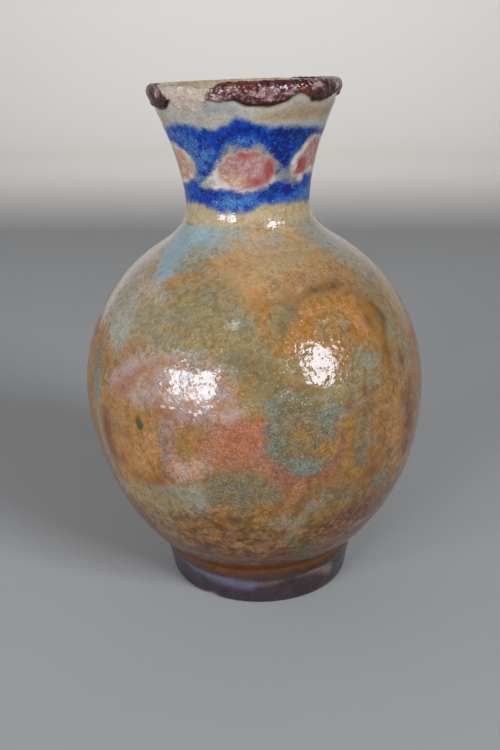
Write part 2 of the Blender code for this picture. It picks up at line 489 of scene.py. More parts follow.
SAGE_OVALS = dabs((13.5, 83.5, 11.6, 14, 8), (15, 76, 9.5, 6, 0), (-5, 66, 12.2, 8.8, -3))
BODY_WASHES = (
    Wash(
        "tan", Tint.TAN, softness=5.0, ragged=3.0, calm=0.5,
        shapes=strokes(
            ((-14, 150, 4), (8, 147.6, 8.4), (30, 149, 8.6), (48, 149.4, 7)),
            ((2, 138, 7), (13, 143.5, 4.6), (24, 146, 4)), ((110, 150, 8), (160, 146, 10), (200, 142, 8)),
        ),
    ),
    Wash(
        "peach", Tint.PEACH, softness=3.0, ragged=2.0, strength=0.85,
        shapes=strokes(((-22, 143, 3), (-14, 142, 5), (-6, 138, 6), (1, 132, 5), (5, 124, 3))),
    ),
    Wash(
        "orange", Tint.ORANGE, softness=4.0, ragged=3.0,
        shapes=strokes(
            ((4, 127, 3), (6, 120, 3.4), (8, 110, 2)),
            ((18, 118, 5), (26, 124, 6), (36, 124, 7), (45, 116, 7), (46, 107, 5)),
            ((-51, 90, 6), (-42, 88, 9), (-40, 76, 11), (-46, 70, 9)),
            ((43, 92, 3), (49, 82, 7), (56, 68, 7)),
            ((104, 126, 8), (128, 118, 9), (150, 100, 9), (160, 84, 6)),
            ((196, 128, 9), (222, 118, 8), (236, 98, 8)),
        ),
    ),
    Wash(
        "beige", Tint.BEIGE, softness=4.0, ragged=1.8, strength=0.85, calm=0.5,
        shapes=strokes(((4, 153, 2), (20, 153, 3)), ((262, 140, 8), (240, 148, 6))),
    ),
    Wash(
        "fair", Tint.FAIR, softness=4.0, ragged=1.8, strength=0.85, calm=0.5,
        shapes=strokes(((-82, 150, 5), (-76, 136, 8), (-76, 120, 6))),
    ),
    Wash(
        "fawn", Tint.FAWN, softness=4.0, ragged=2.0, strength=0.85, calm=0.3,
        shapes=strokes(((62, 150, 4), (68, 142, 5), (75, 128, 8), (71, 112, 7))),
    ),
    Wash(
        "olive", Tint.OLIVE, softness=4.0, ragged=3.0,
        shapes=strokes(
            ((-44, 119, 7), (-32, 122, 11), (-20, 124, 12), (-9, 119, 9), (-2, 109, 8), (7, 102, 9),
             (16, 96, 7)), ((-40, 143, 4), (-32, 142, 4), (-26, 141, 3)),
            ((22, 94, 6), (34, 97, 6), (38, 104, 4)), ((-54, 57, 4), (-40, 57, 5), (-27, 57, 4)),
            ((58, 130, 3), (58, 114, 4), (56, 100, 4)), ((9, 121, 1.2), (14, 124.6, 2), (18, 127.6, 1.0)),
            ((25, 118, 1), (34, 117.4, 1.8)), ((130, 96, 12), (112, 110, 10)),
            ((214, 92, 12), (200, 108, 10), (176, 124, 9)), ((160, 62, 9), (186, 58, 8), (250, 66, 8)),
        ),
    ),
    Wash(
        "khaki", Tint.KHAKI, softness=3.0, ragged=2.8, strength=0.85,
        shapes=strokes(
            ((-4, 110, 2), (3, 104, 4.4), (9, 99, 4), (16, 97, 3)),
            ((-44, 49, 4), (-37, 41, 3.4), (-30, 50, 3)), ((12, 119, 1), (17, 126, 1.6)),
            ((22, 63, 4), (30, 58, 4.4)),
        )
        + dabs(
            (28, 130.6, 2.2, 1.0), (19, 127.6, 1.6, 2.2), (36, 96, 2, 1.6), (56, 101, 2, 2.6),
            (46, 104, 1.8, 1.4),
        ),
    ),
    Wash(
        "ash", Tint.ASH, softness=4.0, ragged=1.4, strength=0.8, calm=0.3,
        shapes=strokes(
            ((-66, 134, 6), (-60, 122, 9), (-52, 114, 6)), ((-46, 142, 2), (-36, 145, 5), (-24, 149, 4)),
            ((60, 144, 6), (72, 138, 5)), ((-34, 61, 1), (-25, 64.5, 2.2), (-18, 64, 2), (-20, 58, 1)),
            ((-40, 109.6, 0), (-30, 110.8, 0.4), (-16, 111.2, 0.6), (-6, 106.8, 0)),
            ((150, 88, 5), (152, 74, 5)),
        ),
    ),
    Wash(
        "glow", Tint.GLOW, softness=3.2, ragged=2.6, strength=0.64,
        shapes=strokes(
            ((-34, 84, 1), (-32, 79, 1.8), (-38, 74, 1.4)),
            ((20, 124, 1), (30, 125, 2), (38, 123, 2.4), (44, 115, 2)), ((120, 122, 3), (206, 124, 4)),
        ),
    ),
    Wash(
        "beige_band", Tint.BEIGE, softness=3.4, ragged=1.8, strength=0.75, calm=0.3,
        shapes=strokes(((-66, 136, 1), (-48, 130.4, 2), (-38, 128.6, 1)), ((236, 128, 2), (250, 122, 2))),
    ),
    Wash(
        "grey", Tint.GREY, softness=2.6, ragged=2.2, strength=0.76,
        shapes=strokes(
            ((-32, 61.5, 3), (-22, 64, 5), (-14, 66, 4)), ((38, 107, 2.4), (42, 103.6, 2.8), (41, 98, 3)),
            ((56, 115, 1.2), (57, 108.5, 1.6), (64, 103, 1.8), (62, 98, 1.6)),
            ((20, 59, 1.8), (15, 55.4, 1.8), (13.5, 49, 2.4), (11, 43.6, 2)), ((4, 52, 1.4), (9, 53.6, 2)),
            ((-60, 96, 2.6), (-60, 84, 2.6), (-59, 70, 2.6), (-57, 58, 2)),
            ((62, 131, 1.6), (74, 132, 1.4)),
        )
        + dabs((-6.5, 121, 3, 3.4), (10, 97, 3.4, 3)),
    ),
    Wash(
        "salmon", Tint.SALMON, softness=2.8, ragged=1.6, strength=0.9,
        shapes=strokes(
            ((-49, 99, 4), (-40, 104, 5), (-26, 105, 6), (-14, 102.6, 5.4), (-9.4, 97, 4), (-6.5, 92, 2.8)),
            ((-44, 97, 4), (-30, 98, 5), (-14, 96, 5)), ((168, 112, 6), (182, 104, 8), (190, 94, 6)),
        ),
    ),
    Wash(
        "rose", Tint.ROSE, softness=3.0, ragged=1.6, strength=0.85,
        shapes=strokes(
            ((-33, 94.2, 1), (-24, 91.4, 3), (-14, 93, 2), (-6, 94.2, 0.6)),
            ((-26, 90, 3), (-26, 81, 2.4), (-26, 71, 2), (-29, 67, 1)), ((110, 92, 5), (118, 82, 7)),
        ),
    ),
    Wash(
        "pink", Tint.PINK, softness=3.0, ragged=1.8, strength=0.85,
        shapes=strokes(((-26, 75, 2), (-22, 73, 4.4), (-17, 75.6, 3.4)), ((166, 100, 3), (172, 94, 4))),
    ),
    Wash(
        "apricot", Tint.APRICOT, softness=1.8, ragged=2.4, strength=0.75,
        shapes=dabs(
            (-29, 93.4, 2.4, 1.5), (-8, 96, 2.6, 2), (-4.6, 99.4, 2, 2.6), (-10, 102.6, 2.6, 1.8),
            (-34, 102.8, 2, 1.8), (-29, 107.8, 2, 1.2), (-44, 91.6, 2.4, 1.4), (-13, 57.6, 2.4, 1.6),
            (184, 100, 4, 3),
        ),
    ),
    Wash(
        "blush", Tint.BLUSH, softness=2.0, ragged=1.8, strength=0.92,
        shapes=strokes(
            ((-48, 95.6, 1.4), (-43.5, 97.6, 2.6), (-40, 102.4, 1.2), (-33, 107, 0.2)),
            ((172, 106, 2), (180, 98, 3)),
        ),
    ),
    Wash(
        "coral", Tint.CORAL, softness=2.8, ragged=2.0, strength=0.95, grit=1.0,
        shapes=strokes(
            ((-11, 86.6, 3.4), (-5, 87, 5.2), (0.6, 86.4, 5)),
            ((-15, 80.6, 2.6), (-7, 80.2, 4.8), (0, 79, 4.6), (5, 74, 3.6)),
            ((176, 90, 7), (186, 84, 7), (197, 74, 5), (210, 70, 3)), ((258, 112, 5), (268, 100, 6)),
        ),
    ),
    Wash(
        "coral_red", Tint.CORAL_RED, softness=2.0, ragged=2.2, strength=0.55,
        shapes=strokes(
            ((2, 89.4, 0.8), (1.6, 84, 1.8), (-2, 81.6, 1.6)), ((-4, 87.6, 1.6), (-8, 85.2, 1.2)),
        )
        + dabs((190, 82, 4, 3)),
    ),
    Wash(
        "sage", Tint.SAGE, softness=1.8, ragged=1.5, strength=0.95, grit=1.0,
        shapes=SAGE_OVALS
        + dabs((44.5, 61.6, 5, 3, -15), (130, 130, 9, 6), (228, 84, 10, 9))
        + strokes(((34.5, 87, 1.8), (34.5, 79, 3.3), (33, 71, 2.4))),
    ),
    Wash(
        "teal", Tint.TEAL, softness=1.6, ragged=1.5, strength=0.75, grit=1.0,
        shapes=strokes(
            ((5.5, 96, 2), (5, 89, 2), (6.5, 82, 2), (10, 75, 1.5), (16, 72.5, 3), (21, 75, 1.6)),
            ((22, 90, 3), (29, 92, 3), (33, 92, 2)), ((-64, 106, 2), (-62, 98, 2.4), (-60, 90, 1.6)),
            ((-29, 88, 0.2), (-28.4, 82, 0.7), (-28, 76, 0.7), (-30, 71.8, 0.2)),
            ((42, 61.5, 1.6), (47, 62.4, 1.8)), ((240, 122, 5), (252, 106, 5)),
        ),
    ),
    Wash(
        "haze", Tint.HAZE, softness=3.4, ragged=1.4, strength=0.85, calm=0.6,
        shapes=strokes(
            ((-44, 150, 5), (-32, 151, 5), (-20, 154, 5), (-8, 155, 3)),
            ((50, 156, 4), (62, 152, 5), (76, 150, 6)), ((240, 150, 5), (262, 152, 5)),
        ),
    ),
    Wash(
        "sky", Tint.SKY, softness=2.8, ragged=0.9, strength=0.95, calm=0.7,
        shapes=strokes(
            ((-74, 155, 3), (-62, 152, 5.5), (-54, 147, 6), (-49, 141, 4.5), (-46, 137, 2.4)),
            ((-60, 156, 3), (-42, 154.5, 3), (-33, 154, 2)), ((212, 152, 6), (224, 144, 6), (232, 134, 3)),
        ),
    ),
    Wash(
        "comma", Tint.COMMA, softness=1.3, ragged=1.1, strength=0.88, grit=1.0,
        shapes=strokes(
            ((27.5, 84.5, 0.9), (26.5, 78, 1.5), (23, 72, 1.6), (17, 68.8, 1.9), (11, 69.5, 2.6),
             (6, 73, 3)), ((206, 96, 1.4), (202, 86, 2.4), (194, 80, 2.4)),
        ),
    ),
    Wash(
        "comma_leg", Tint.COMMA_LEG, softness=1.5, ragged=1.4, strength=0.85, grit=1.0,
        shapes=strokes(
            ((14, 68.6, 1.6), (12.5, 67, 2.2), (12, 64, 2.2), (9.5, 60.5, 2.3), (7.5, 57.2, 1.4)),
        ),
    ),
    Wash(
        "ochre", Tint.OCHRE, softness=1.8, ragged=2.0, strength=0.75,
        shapes=strokes(
            ((28.5, 87, 1.8), (29.5, 82, 1.6)), ((29, 72, 1.4), (33, 67, 2)),
            ((47, 122, 1.4), (50, 117, 1.8), (47, 110, 1.2)),
        )
        + dabs(
            (14, 85.5, 3.4, 2.8), (21.5, 79, 3.6, 3), (-20.5, 81.5, 3, 2.6), (0, 60, 4, 3), (27, 56, 3, 3),
            (20, 52.5, 2.4, 2.6), (47, 92, 2.4, 1.8), (-9.5, 58.6, 3, 1.6), (61, 78, 5, 6),
            (-27, 48, 3.4, 2), (-16, 45, 3, 2.2), (-3, 51, 2.6, 1.8), (-7.5, 41, 2.8, 1.8),
            (1, 55, 2.4, 1.4), (5.5, 40.5, 2.6, 2), (-33, 60, 2, 1.2),
        ),
    ),
    Wash(
        "rust", Tint.RUST, softness=3.6, ragged=3.0, strength=0.75,
        shapes=strokes(
            ((28, 47, 5), (42, 47, 6), (54, 48, 6), (66, 42, 8)), ((30, 26, 6), (50, 34, 9), (70, 32, 10)),
            ((-54, 86, 1.6), (-55, 78, 2.4), (-53, 70, 2)), ((58, 84, 4), (60, 70, 5)),
            ((140, 40, 9), (165, 46, 8)), ((230, 34, 8), (250, 44, 8)),
        ),
    ),
    Wash(
        "russet", Tint.RUSSET, softness=1.7, ragged=2.4, strength=0.78,
        shapes=dabs(
            (-53.5, 79.8, 1.6, 3.2), (-44, 81.4, 2, 1.1), (-32, 67, 1.8, 1.3), (-41, 66.2, 2.2, 1.1),
            (-48, 71, 1.5, 2.2), (39, 94, 1.1, 1.8), (53, 87, 1.5, 1.9), (55, 76, 1.8, 1.2),
            (45, 84.6, 1.8, 1.1), (42, 76.5, 1.1, 1.8), (60, 92, 1.6, 2.2), (63, 80, 1.8, 2.6),
            (47, 116, 1.5, 2.8), (39, 90.6, 1, 2.2), (30, 93, 1.6, 0.9), (-27, 92.4, 1.6, 0.8),
            (35.5, 95.5, 1.1, 1.3), (56.8, 100.8, 1.2, 2.2), (46, 71, 2, 1.2), (38, 66, 1.6, 1),
        ),
    ),
    Wash(
        "bistre", Tint.BISTRE, softness=2.2, ragged=3.0, strength=0.72,
        shapes=strokes(
            ((17, 127.6, -0.2), (24, 130.4, 0.2), (30, 131.2, 0.9), (37, 131.4, 1.4), (42, 130.6, -0.4)),
            ((46, 127, -0.3), (52, 121.5, 0.2), (54.4, 115, 0.9), (51, 111, 0.4), (49.5, 105.5, 0.8),
             (49, 101, 0)), ((14, 28, 1), (20, 32.4, 1.6)),
            ((60, 128, 0.2), (64, 120, 0.6), (66, 112, 0.2)),
        ),
    ),
    Wash(
        "dregs", Tint.MOSS, softness=3.0, ragged=2.6, strength=0.58,
        shapes=strokes(
            ((14, 40, 1.6), (17, 34, 2.8), (21, 28, 2.4), (26, 22, 1.6)), ((-34, 36, 1), (-24, 28, 2)),
            ((25, 57, 0.4), (18, 54, 1.8), (15, 48.6, 1)), ((150, 34, 4), (230, 30, 4)),
        ),
    ),
    Wash(
        "umber", Tint.UMBER, softness=1.5, ragged=1.8, strength=0.62,
        shapes=strokes(
            ((-28, 49, 1.2), (-24, 46.5, 1.6)), ((18, 42, 0.8), (22, 45.8, 1.2), (31, 51.2, 0.4)),
            ((-10, 37, 1.0), (-4, 36.6, 0.8)), ((34.6, 85, -0.7), (34.4, 77, -0.4)),
        )
        + dabs(
            (-2, 48, 2.4, 1.3), (-14.5, 50.6, 2, 1.2), (-21, 38.6, 2, 1.3), (-8, 54, 1.6, 0.9),
            (4, 46, 1.8, 1.1), (13, 30.4, 1.6, 1.1), (-28, 34, 2, 1.2), (0, 30, 2.4, 1),
            (37.5, 131.2, 2.6, 0.8), (33, 49, 2.4, 2.6), (57, 68, 2, 3), (-29, 62.5, 1.2, 0.8),
        ),
    ),
    Wash(
        "moss", Tint.MOSS, softness=0.7, ragged=0.9, strength=0.95,
        shapes=strokes(((-37.4, 88.6, 1.0), (-36.2, 85.8, 1.6))),
    ),
    # Painted glints: small pale dots standing for spots of light on the glaze, and one wider pale fleck.
    Wash(
        "glints_and_pale_fleck", Tint.GLINT_AND_PALE_FLECK, softness=1.2, ragged=1.6, strength=0.42,
        shapes=dabs(
            (21.2, 131.8, 0.7, 0.9), (63, 131.5, 0.9, 0.8), (-6.5, 121, 1.6, 1.8), (28, 120, 0.5, 0.5),
            (14.4, 121.5, 0.5, 0.5),
        ),
    ),
    Wash(
        "iron", Tint.IRON, softness=0.5, ragged=0.5, strength=0.8,
        shapes=strokes(
            ((7.4, 34.0, 0.5), (9.4, 32.6, 1.5), (10.6, 32.4, 0.9)),
            ((-75, 158.4, 0.3), (-52, 158.3, 0.35)),
        )
        + dabs((6.8, 123.8, 0.5, 0.5), (2.2, 58.6, 0.6, 0.4)),
    ),
)


@dataclass(frozen=True)
class NeckPainting:
    """Cobalt band round the neck, with six rose medallions in pale halos."""

    top: Contour = Contour(
        (-180, -150, -120, -95, -75, -60, -50, -40, -30, -20, -15, -12, -8, -5)
        + (-2, 2, 6, 10, 15, 25, 40, 50, 60, 66, 74, 100, 130, 155),
        (190.5, 192.2, 190.4, 192.4, 190.2, 191.4, 192, 191.8, 190.5, 190.3, 190.6, 192, 193.3, 194)
        + (193.7, 192.8, 192, 191, 190.5, 190.3, 190, 189.6, 189, 188.3, 188.6, 191.5, 190, 192),
    )
    bottom: Contour = Contour(
        (-180, -140, -100, -75, -60, -50, -40, -32, -25, -15, -5, 0)
        + (6, 12, 20, 30, 40, 50, 60, 70, 90, 120, 150),
        (164.2, 165, 163.6, 164.8, 165, 165.3, 165, 163.6, 162.9, 162.7, 163, 163.2)
        + (164, 165, 165, 165, 164.9, 165, 164.5, 163.8, 164.6, 165.2, 163.4),
    )
    ring_floor: Contour = Contour(
        (-180, -120, -75, -50, -30, -15, -8, 0, 10, 25, 45, 70, 110, 150),
        (158.4, 158.8, 158.3, 158.5, 158.4, 158.2, 158.4, 159.8, 160.2, 159.4, 158.8, 158.6, 158.2, 158.9),
    )
    spacing: float = 60.0
    first: float = -3.0
    middle: float = 176.4
    medallion_scale: float = 0.68
    behind_turns: tuple[int, ...] = (2, 3, 4)
    seed: int = 17
    REDS = dabs(
        (20.5, 175.8, 3.0, 4.6), (-2, 181.4, 3.2, 1.3), (48, 177, 3.6, 3.2), (8, 172.6, 4, 1.4),
        (116, 175, 4, 4), (186, 178, 4, 3), (234, 176, 4, 3.4),
    )
    PALE_ROSES = dabs((-66, 178, 8, 8), (-13, 172.5, 5, 3), (174, 176, 6, 6))
    OCHRES = strokes(
        ((-17, 182.2, 0.8), (-10, 184, 1), (0, 183.4, 0.5), (9, 183.8, 1.4))
        + ((18, 181, 0.8), (25.5, 177, 0.8)),
        ((26, 173.6, 1), (31, 174.2, 2.0), (38, 173.8, 1.8), (43, 171.4, 1.0)),
        ((-46, 174, 0.9), (-48, 179, 0.8)),
        ((-30, 172.6, 0.6), (-40, 171, 0.9)),
    ) + dabs((88, 174, 3, 2), (146, 180, 3, 2), (210, 173, 4, 2), (266, 182, 3, 2))
    DEEPS = strokes(
        ((-17, 185.8, 0.8), (-11, 188, 1.1), (-4, 189, 1.2), (5, 188.7, 1.2))
        + ((12, 187.1, 1.3), (18, 185.3, 1.6))
    ) + dabs(
        (34, 187, 9, 2.8), (54, 187.6, 5, 1.8), (25, 182, 2.4, 3), (30.4, 180.4, 2.6, 2.8),
        (20, 168.4, 3, 1.3), (32, 169.4, 5.4, 1.6), (-46, 168.4, 6, 1.6), (88, 184, 6, 4),
        (148, 186, 6, 4), (208, 168, 8, 2), (266, 186, 6, 3.4), (120, 167, 8, 1.8),
    )
    MILKY = strokes(
        ((-14, 184.6, 0.7), (-4, 186.6, 1.3), (6, 186.4, 1.4), (12, 185, 0.9)),
        ((-29, 166.6, 0.9), (-21.5, 166.4, 1.7), (-6, 165.6, 1.7), (8, 167.4, 1.4)),
        ((-46, 172.8, 0.9), (-39, 173.5, 1.3)),
        ((-62, 188.6, 0.8), (-50, 187, 1.6), (-42, 184.4, 2.6), (-38, 180, 3.4), (-33, 181.6, 2.4))
        + ((-26, 182.6, 0.6),),
    ) + dabs(
        (-60, 168, 5, 1.6), (60, 167, 6, 1.6), (150, 166, 6, 1.6), (240, 188, 5, 1.4), (180, 187, 5, 1.2)
    )

    def halos(self) -> tuple:
        """Pale grounds of the medallions: the three at the front listed one by one, those behind in keeping.
        """
        front = dabs((-0.5, 176.4, 10.3, 7.1), (-10, 183, 1.4, 1.1), (9, 182.6, 1.8, 1.1)) + strokes(
            ((-16, 174.6, 4.8), (-28, 173, 2.8), (-42, 171.4, 0.6)), ((20, 173.8, 2.2), (28, 173.2, 0.6))
        )
        sides = strokes(
            ((42, 175.2, 2.2), (49, 177.2, 5), (60, 180.2, 6.6), (74, 179.4, 6.6)),
            ((46, 172.6, 0.6), (52, 171.8, 1.0)),
            ((-49, 176.8, 2.0), (-56, 178.4, 5.2), (-66, 178.4, 7.0), (-80, 178, 7)),
        )
        return front + sides + self.behind(1.0)

    def medallions(self) -> tuple:
        """Rose middles of the medallions."""
        front = dabs((0.5, 176.4, 9.4, 6.3), (-4, 181.2, 3, 1.8), (4, 180.8, 4, 2))
        sides = strokes(
            ((46.5, 174.8, 1.6), (53, 177.6, 3.8), (63, 181, 4.8), (74, 180, 4.6)),
            ((-53, 177, 2.2), (-62, 178.2, 5.0), (-76, 178, 5.2)),
        )
        return front + sides + self.behind(self.medallion_scale)

    def behind(self, scale: float) -> tuple:
        """Medallions behind, one dab and one side lobe each, drawn with seeded small differences.

        Args:
            scale: their size as a share of the halo's.

        Returns:
            The dabs, two for each.
        """
        draw = np.random.default_rng(self.seed)
        shapes: tuple = ()
        for turn in self.behind_turns:
            angle = self.first + self.spacing * turn
            along = self.middle + draw.uniform(-0.5, 0.9)
            wide, high, tilt = draw.uniform(10.6, 12), draw.uniform(6.4, 7.4), draw.uniform(-6, 6)
            lobe = (angle + draw.uniform(8, 14), along + 3.2, 4.6 * scale, 3.6 * scale)
            shapes += dabs((angle, along, wide * scale, high * scale, tilt), lobe)
        return shapes

    def fields(self, chart: Chart, wander: np.ndarray) -> dict[str, np.ndarray]:
        """Depth in millimetres of the band and of what is on it.

        Args:
            chart: the unrolled surface.
            wander: field of about unit spread that makes the edges ragged.

        Returns:
            One field for each painted layer, positive inside it.
        """
        band = np.minimum(self.top.at(chart.angle) - chart.along, chart.along - self.bottom.at(chart.angle))
        deep = np.clip(union(self.DEEPS, chart), -3, 2)
        milky = np.clip(union(self.MILKY, chart), -3, 2)
        thick = soft_step(deep, -1.8, 1.2) - soft_step(milky, -2.2, 1.4)
        wandering = {
            "cobalt": (band, 0.2),
            "halo": (union(self.halos(), chart), 0.15),
            "medallion": (union(self.medallions(), chart), 0.15),
            "medallion_red": (union(self.REDS, chart), 0.2),
            "ring": (chart.along - self.ring_floor.at(chart.angle), 0.15),
        }
        fields = {
            name: np.clip(depth + share * wander, -FIELD_LIMIT, FIELD_LIMIT)
            for name, (depth, share) in wandering.items()
        }
        fields["cobalt_depth"] = np.clip(thick + 0.2 * wander, -1.2, 1.2)
        fields["medallion_pale"] = union(self.PALE_ROSES, chart)
        fields["halo_ochre"] = union(self.OCHRES, chart)
        return fields


@dataclass(frozen=True)
class LipGlaze:
    """Thick bubbled brown glaze on the lip, with its rolled edge, its craters and the bare patch."""

    edge: Contour = Contour(
        (-180, -150, -120, -95, -75, -62, -55, -50, -46, -34, -21, -15, -9, -5, -2, 2, 8)
        + (14, 20, 25, 28, 31, 36, 39, 42, 46, 55, 60, 65, 72, 85, 110, 140, 165),
        (198.5, 197.6, 199, 197.8, 197.2, 196.4, 197, 198.8, 200.4, 201, 199.6, 198.9, 198.8, 199.3)
        + (198.3, 197.3, 196.8, 196.8, 197.2, 198, 199.4, 200.7, 200.6, 200, 198.4, 197.7, 197.7, 198.1)
        + (199.6, 200.2, 198.3, 199.2, 197.5, 199),
    )
    inner_edge: Contour = Contour(
        (-180, -150, -120, -95, -75, -50, 0, 30, 60, 100, 130, 155),
        (205.1, 205.3, 205.0, 205.4, 207.2, 210, 211.5, 210.2, 212.2, 210.4, 208.4, 205.6),
    )
    bare_left: tuple[tuple[float, ...], tuple[float, ...]] = (
        (194, 197, 199, 202, 204, 206, 212),
        (-40, -45, -47.5, -52, -58, -64, -66),
    )
    bare_right: tuple[tuple[float, ...], tuple[float, ...]] = (
        (194, 197, 199, 201, 204, 206, 212),
        (-27, -24.5, -22, -20.5, -19, -15.5, -14),
    )
    bare_floor: Contour = Contour(
        (-60, -50, -46, -42, -38, -33, -28, -24, -18),
        (201, 199.5, 198, 196.5, 197.4, 195.8, 196.3, 197.8, 199),
    )
    bare_top: float = 211.0
    rolled: Contour = Contour(
        (-180, -120, -70, -55, -22, -8, -3, 3, 14, 24, 30, 38, 43, 50, 60, 72, 120),
        (0.5, 0.8, 0.7, 0.9, 0.25, 0.3, 0.9, 1.1, 1.15, 1.0, 0.2, 0.15, 0.7, 0.8, 0.7, 0.4, 0.8),
    )
    craters: tuple[tuple[float, float, float, float], ...] = (
        (13, 201.7, 1.15, 0.55),
        (-12.5, 203, 1.1, 0.45),
        (61, 202.4, 0.9, 0.5),
        (52, 203.6, 0.7, 0.35),
        (24, 203.4, 0.5, 0.3),
        (3, 203.9, 0.6, 0.3),
        (-66, 200.4, 0.8, 0.4),
        (96, 201.4, 1.0, 0.5),
        (150, 202.6, 1.2, 0.5),
        (215, 201.2, 0.9, 0.45),
        (262, 203, 0.8, 0.4),
    )
    thickness: float = 0.55
    swelling: float = 0.3
    bubbles: tuple[tuple[float, int, float], ...] = ((0.07, 31, 1.9), (0.05, 32, 1.1))
    bubble_top: float = 0.12
    clay_grain: tuple[tuple[float, int, float], ...] = ((0.11, 41, 2.6), (0.07, 42, 1.2))
    clay_inset: float = 0.05
    crater_ring: float = 0.32
    FROTH = dabs(
        (11, 201, 4.6, 2.2), (-15, 200.2, 3.2, 1.8), (26, 201.2, 1.8, 1.2), (-7, 203, 2.0, 1.3),
        (3, 200.4, 2.4, 1.4), (-60, 202.4, 1.6, 1.8), (46, 203.6, 3, 1.6), (66, 203.2, 3.2, 1.6),
        (75, 200, 1.4, 1.4), (100, 202, 4, 1.4), (140, 203, 5, 1.4), (180, 202, 4, 1.2), (225, 203, 5, 1.4),
        (262, 202, 4, 1.4),
    )

    def bare(self, chart: Chart, wander: np.ndarray) -> np.ndarray:
        """Millimetres inside the patch that has lost its glaze, between its two sides and above its floor.

        Args:
            chart: the unrolled surface.
            wander: field of about unit spread that makes the edges ragged.

        Returns:
            The depth at each point, negative outside.
        """
        left = (chart.angle - np.interp(chart.along, *self.bare_left)) * np.radians(chart.radius)
        right = (np.interp(chart.along, *self.bare_right) - chart.angle) * np.radians(chart.radius)
        above = chart.along - self.bare_floor.at(chart.angle)
        below = self.bare_top - chart.along
        inside = np.minimum.reduce([left, right, above, below])
        return np.clip(inside + 0.25 * wander, -FIELD_LIMIT, FIELD_LIMIT)

    def glaze(self, chart: Chart, wander: np.ndarray) -> np.ndarray:
        """Millimetres inside the brown glaze: between its lower edges outside and inside the lip."""
        outer = chart.along - self.edge.at(chart.angle)
        inner = self.inner_edge.at(chart.angle) - chart.along
        return np.clip(np.minimum(outer, inner) + 0.12 * wander, -FIELD_LIMIT, FIELD_LIMIT)

    def relief(self, chart: Chart, glaze: np.ndarray, bare: np.ndarray) -> np.ndarray:
        """Height in millimetres over the bare lip.

        The glaze rises in one millimetre to its thickness and swells at its lower edge as a bell curve. Two
        ripples bubble it. Each crater sinks as a bell inside a raised ring, and bare clay sits lower and is
        rough.

        Args:
            chart: the unrolled surface.
            glaze: depth inside the brown glaze.
            bare: depth inside the bare patch.

        Returns:
            The height at each point.
        """
        here = soft_step(glaze, -0.1, 0.9) * (1 - soft_step(bare, -0.2, 0.5))
        outside = soft_step(205 - chart.along, 0, 3)
        swell = self.rolled.at(chart.angle) * self.swelling * bell(glaze, 1.0, 0.85) * outside
        bubbles = np.minimum(rippled(chart.place, self.bubbles), self.bubble_top)
        height = here * (self.thickness + swell + bubbles)
        for angle, along, radius, depth in self.craters:
            distance = np.hypot(chart.across(angle), chart.along - along)
            ring = self.crater_ring * bell(distance, radius * 1.15, radius * 0.35)
            height += here * depth * (ring - bell(distance, 0, radius * 0.72))
        clay = rippled(chart.place, self.clay_grain) - self.clay_inset
        return height + soft_step(bare, -0.2, 0.8) * clay


@dataclass(frozen=True)
class Chips:
    """Losses of the lip and the foot ring, as the CAD pot has them."""

    lip_degrees: tuple[float, ...] = (-66, -60, -31, -27, -17, -13)
    lip_drops: tuple[float, ...] = (0, 1.0, 1.1, 1.9, 1.9, 0)
    lip_inset: float = 0.9
    foot_angle: float = -31.0
    foot_half_width: float = 6.0
    foot_depth: float = 1.1

    def taken(
        self, form: PotForm, chart: Chart, radius: np.ndarray, height: np.ndarray
    ) -> tuple[np.ndarray, np.ndarray]:
        """Radius and height after the losses.

        The lip is cut down to its full height less the drop, softly, and drawn in on its outer half; the foot
        is set in by a cosine across the chip that fades halfway up.

        Args:
            form: the turned form.
            chart: the unrolled surface.
            radius, height: where each point is before.

        Returns:
            The new radius and height of each point.
        """
        drop = np.interp(chart.angle, self.lip_degrees, self.lip_drops, left=0, right=0)
        lip_mid_radius, lip_mid_height = form.lip_centre()
        ceiling = form.height - drop
        over = np.maximum(height - ceiling, 0) * (drop > 0)
        worn = drop / max(self.lip_drops)
        outer = np.clip((radius - lip_mid_radius) / (form.lip_thickness / 2), 0, 1)
        near_lip = soft_step(height, lip_mid_height - form.lip_thickness / 2, lip_mid_height)
        across = np.clip(np.abs(chart.angle - self.foot_angle) / self.foot_half_width, 0, 1)
        low = np.clip(1 - height / (form.foot_height / 2), 0, 1)
        at_foot = (radius > form.foot_radius - form.foot_ring_width / 2) & (height < form.foot_height / 2)
        inset = self.lip_inset * worn * outer * near_lip
        inset = inset + self.foot_depth * np.cos(across * math.pi / 2) * low * at_foot
        return radius - inset, height - over


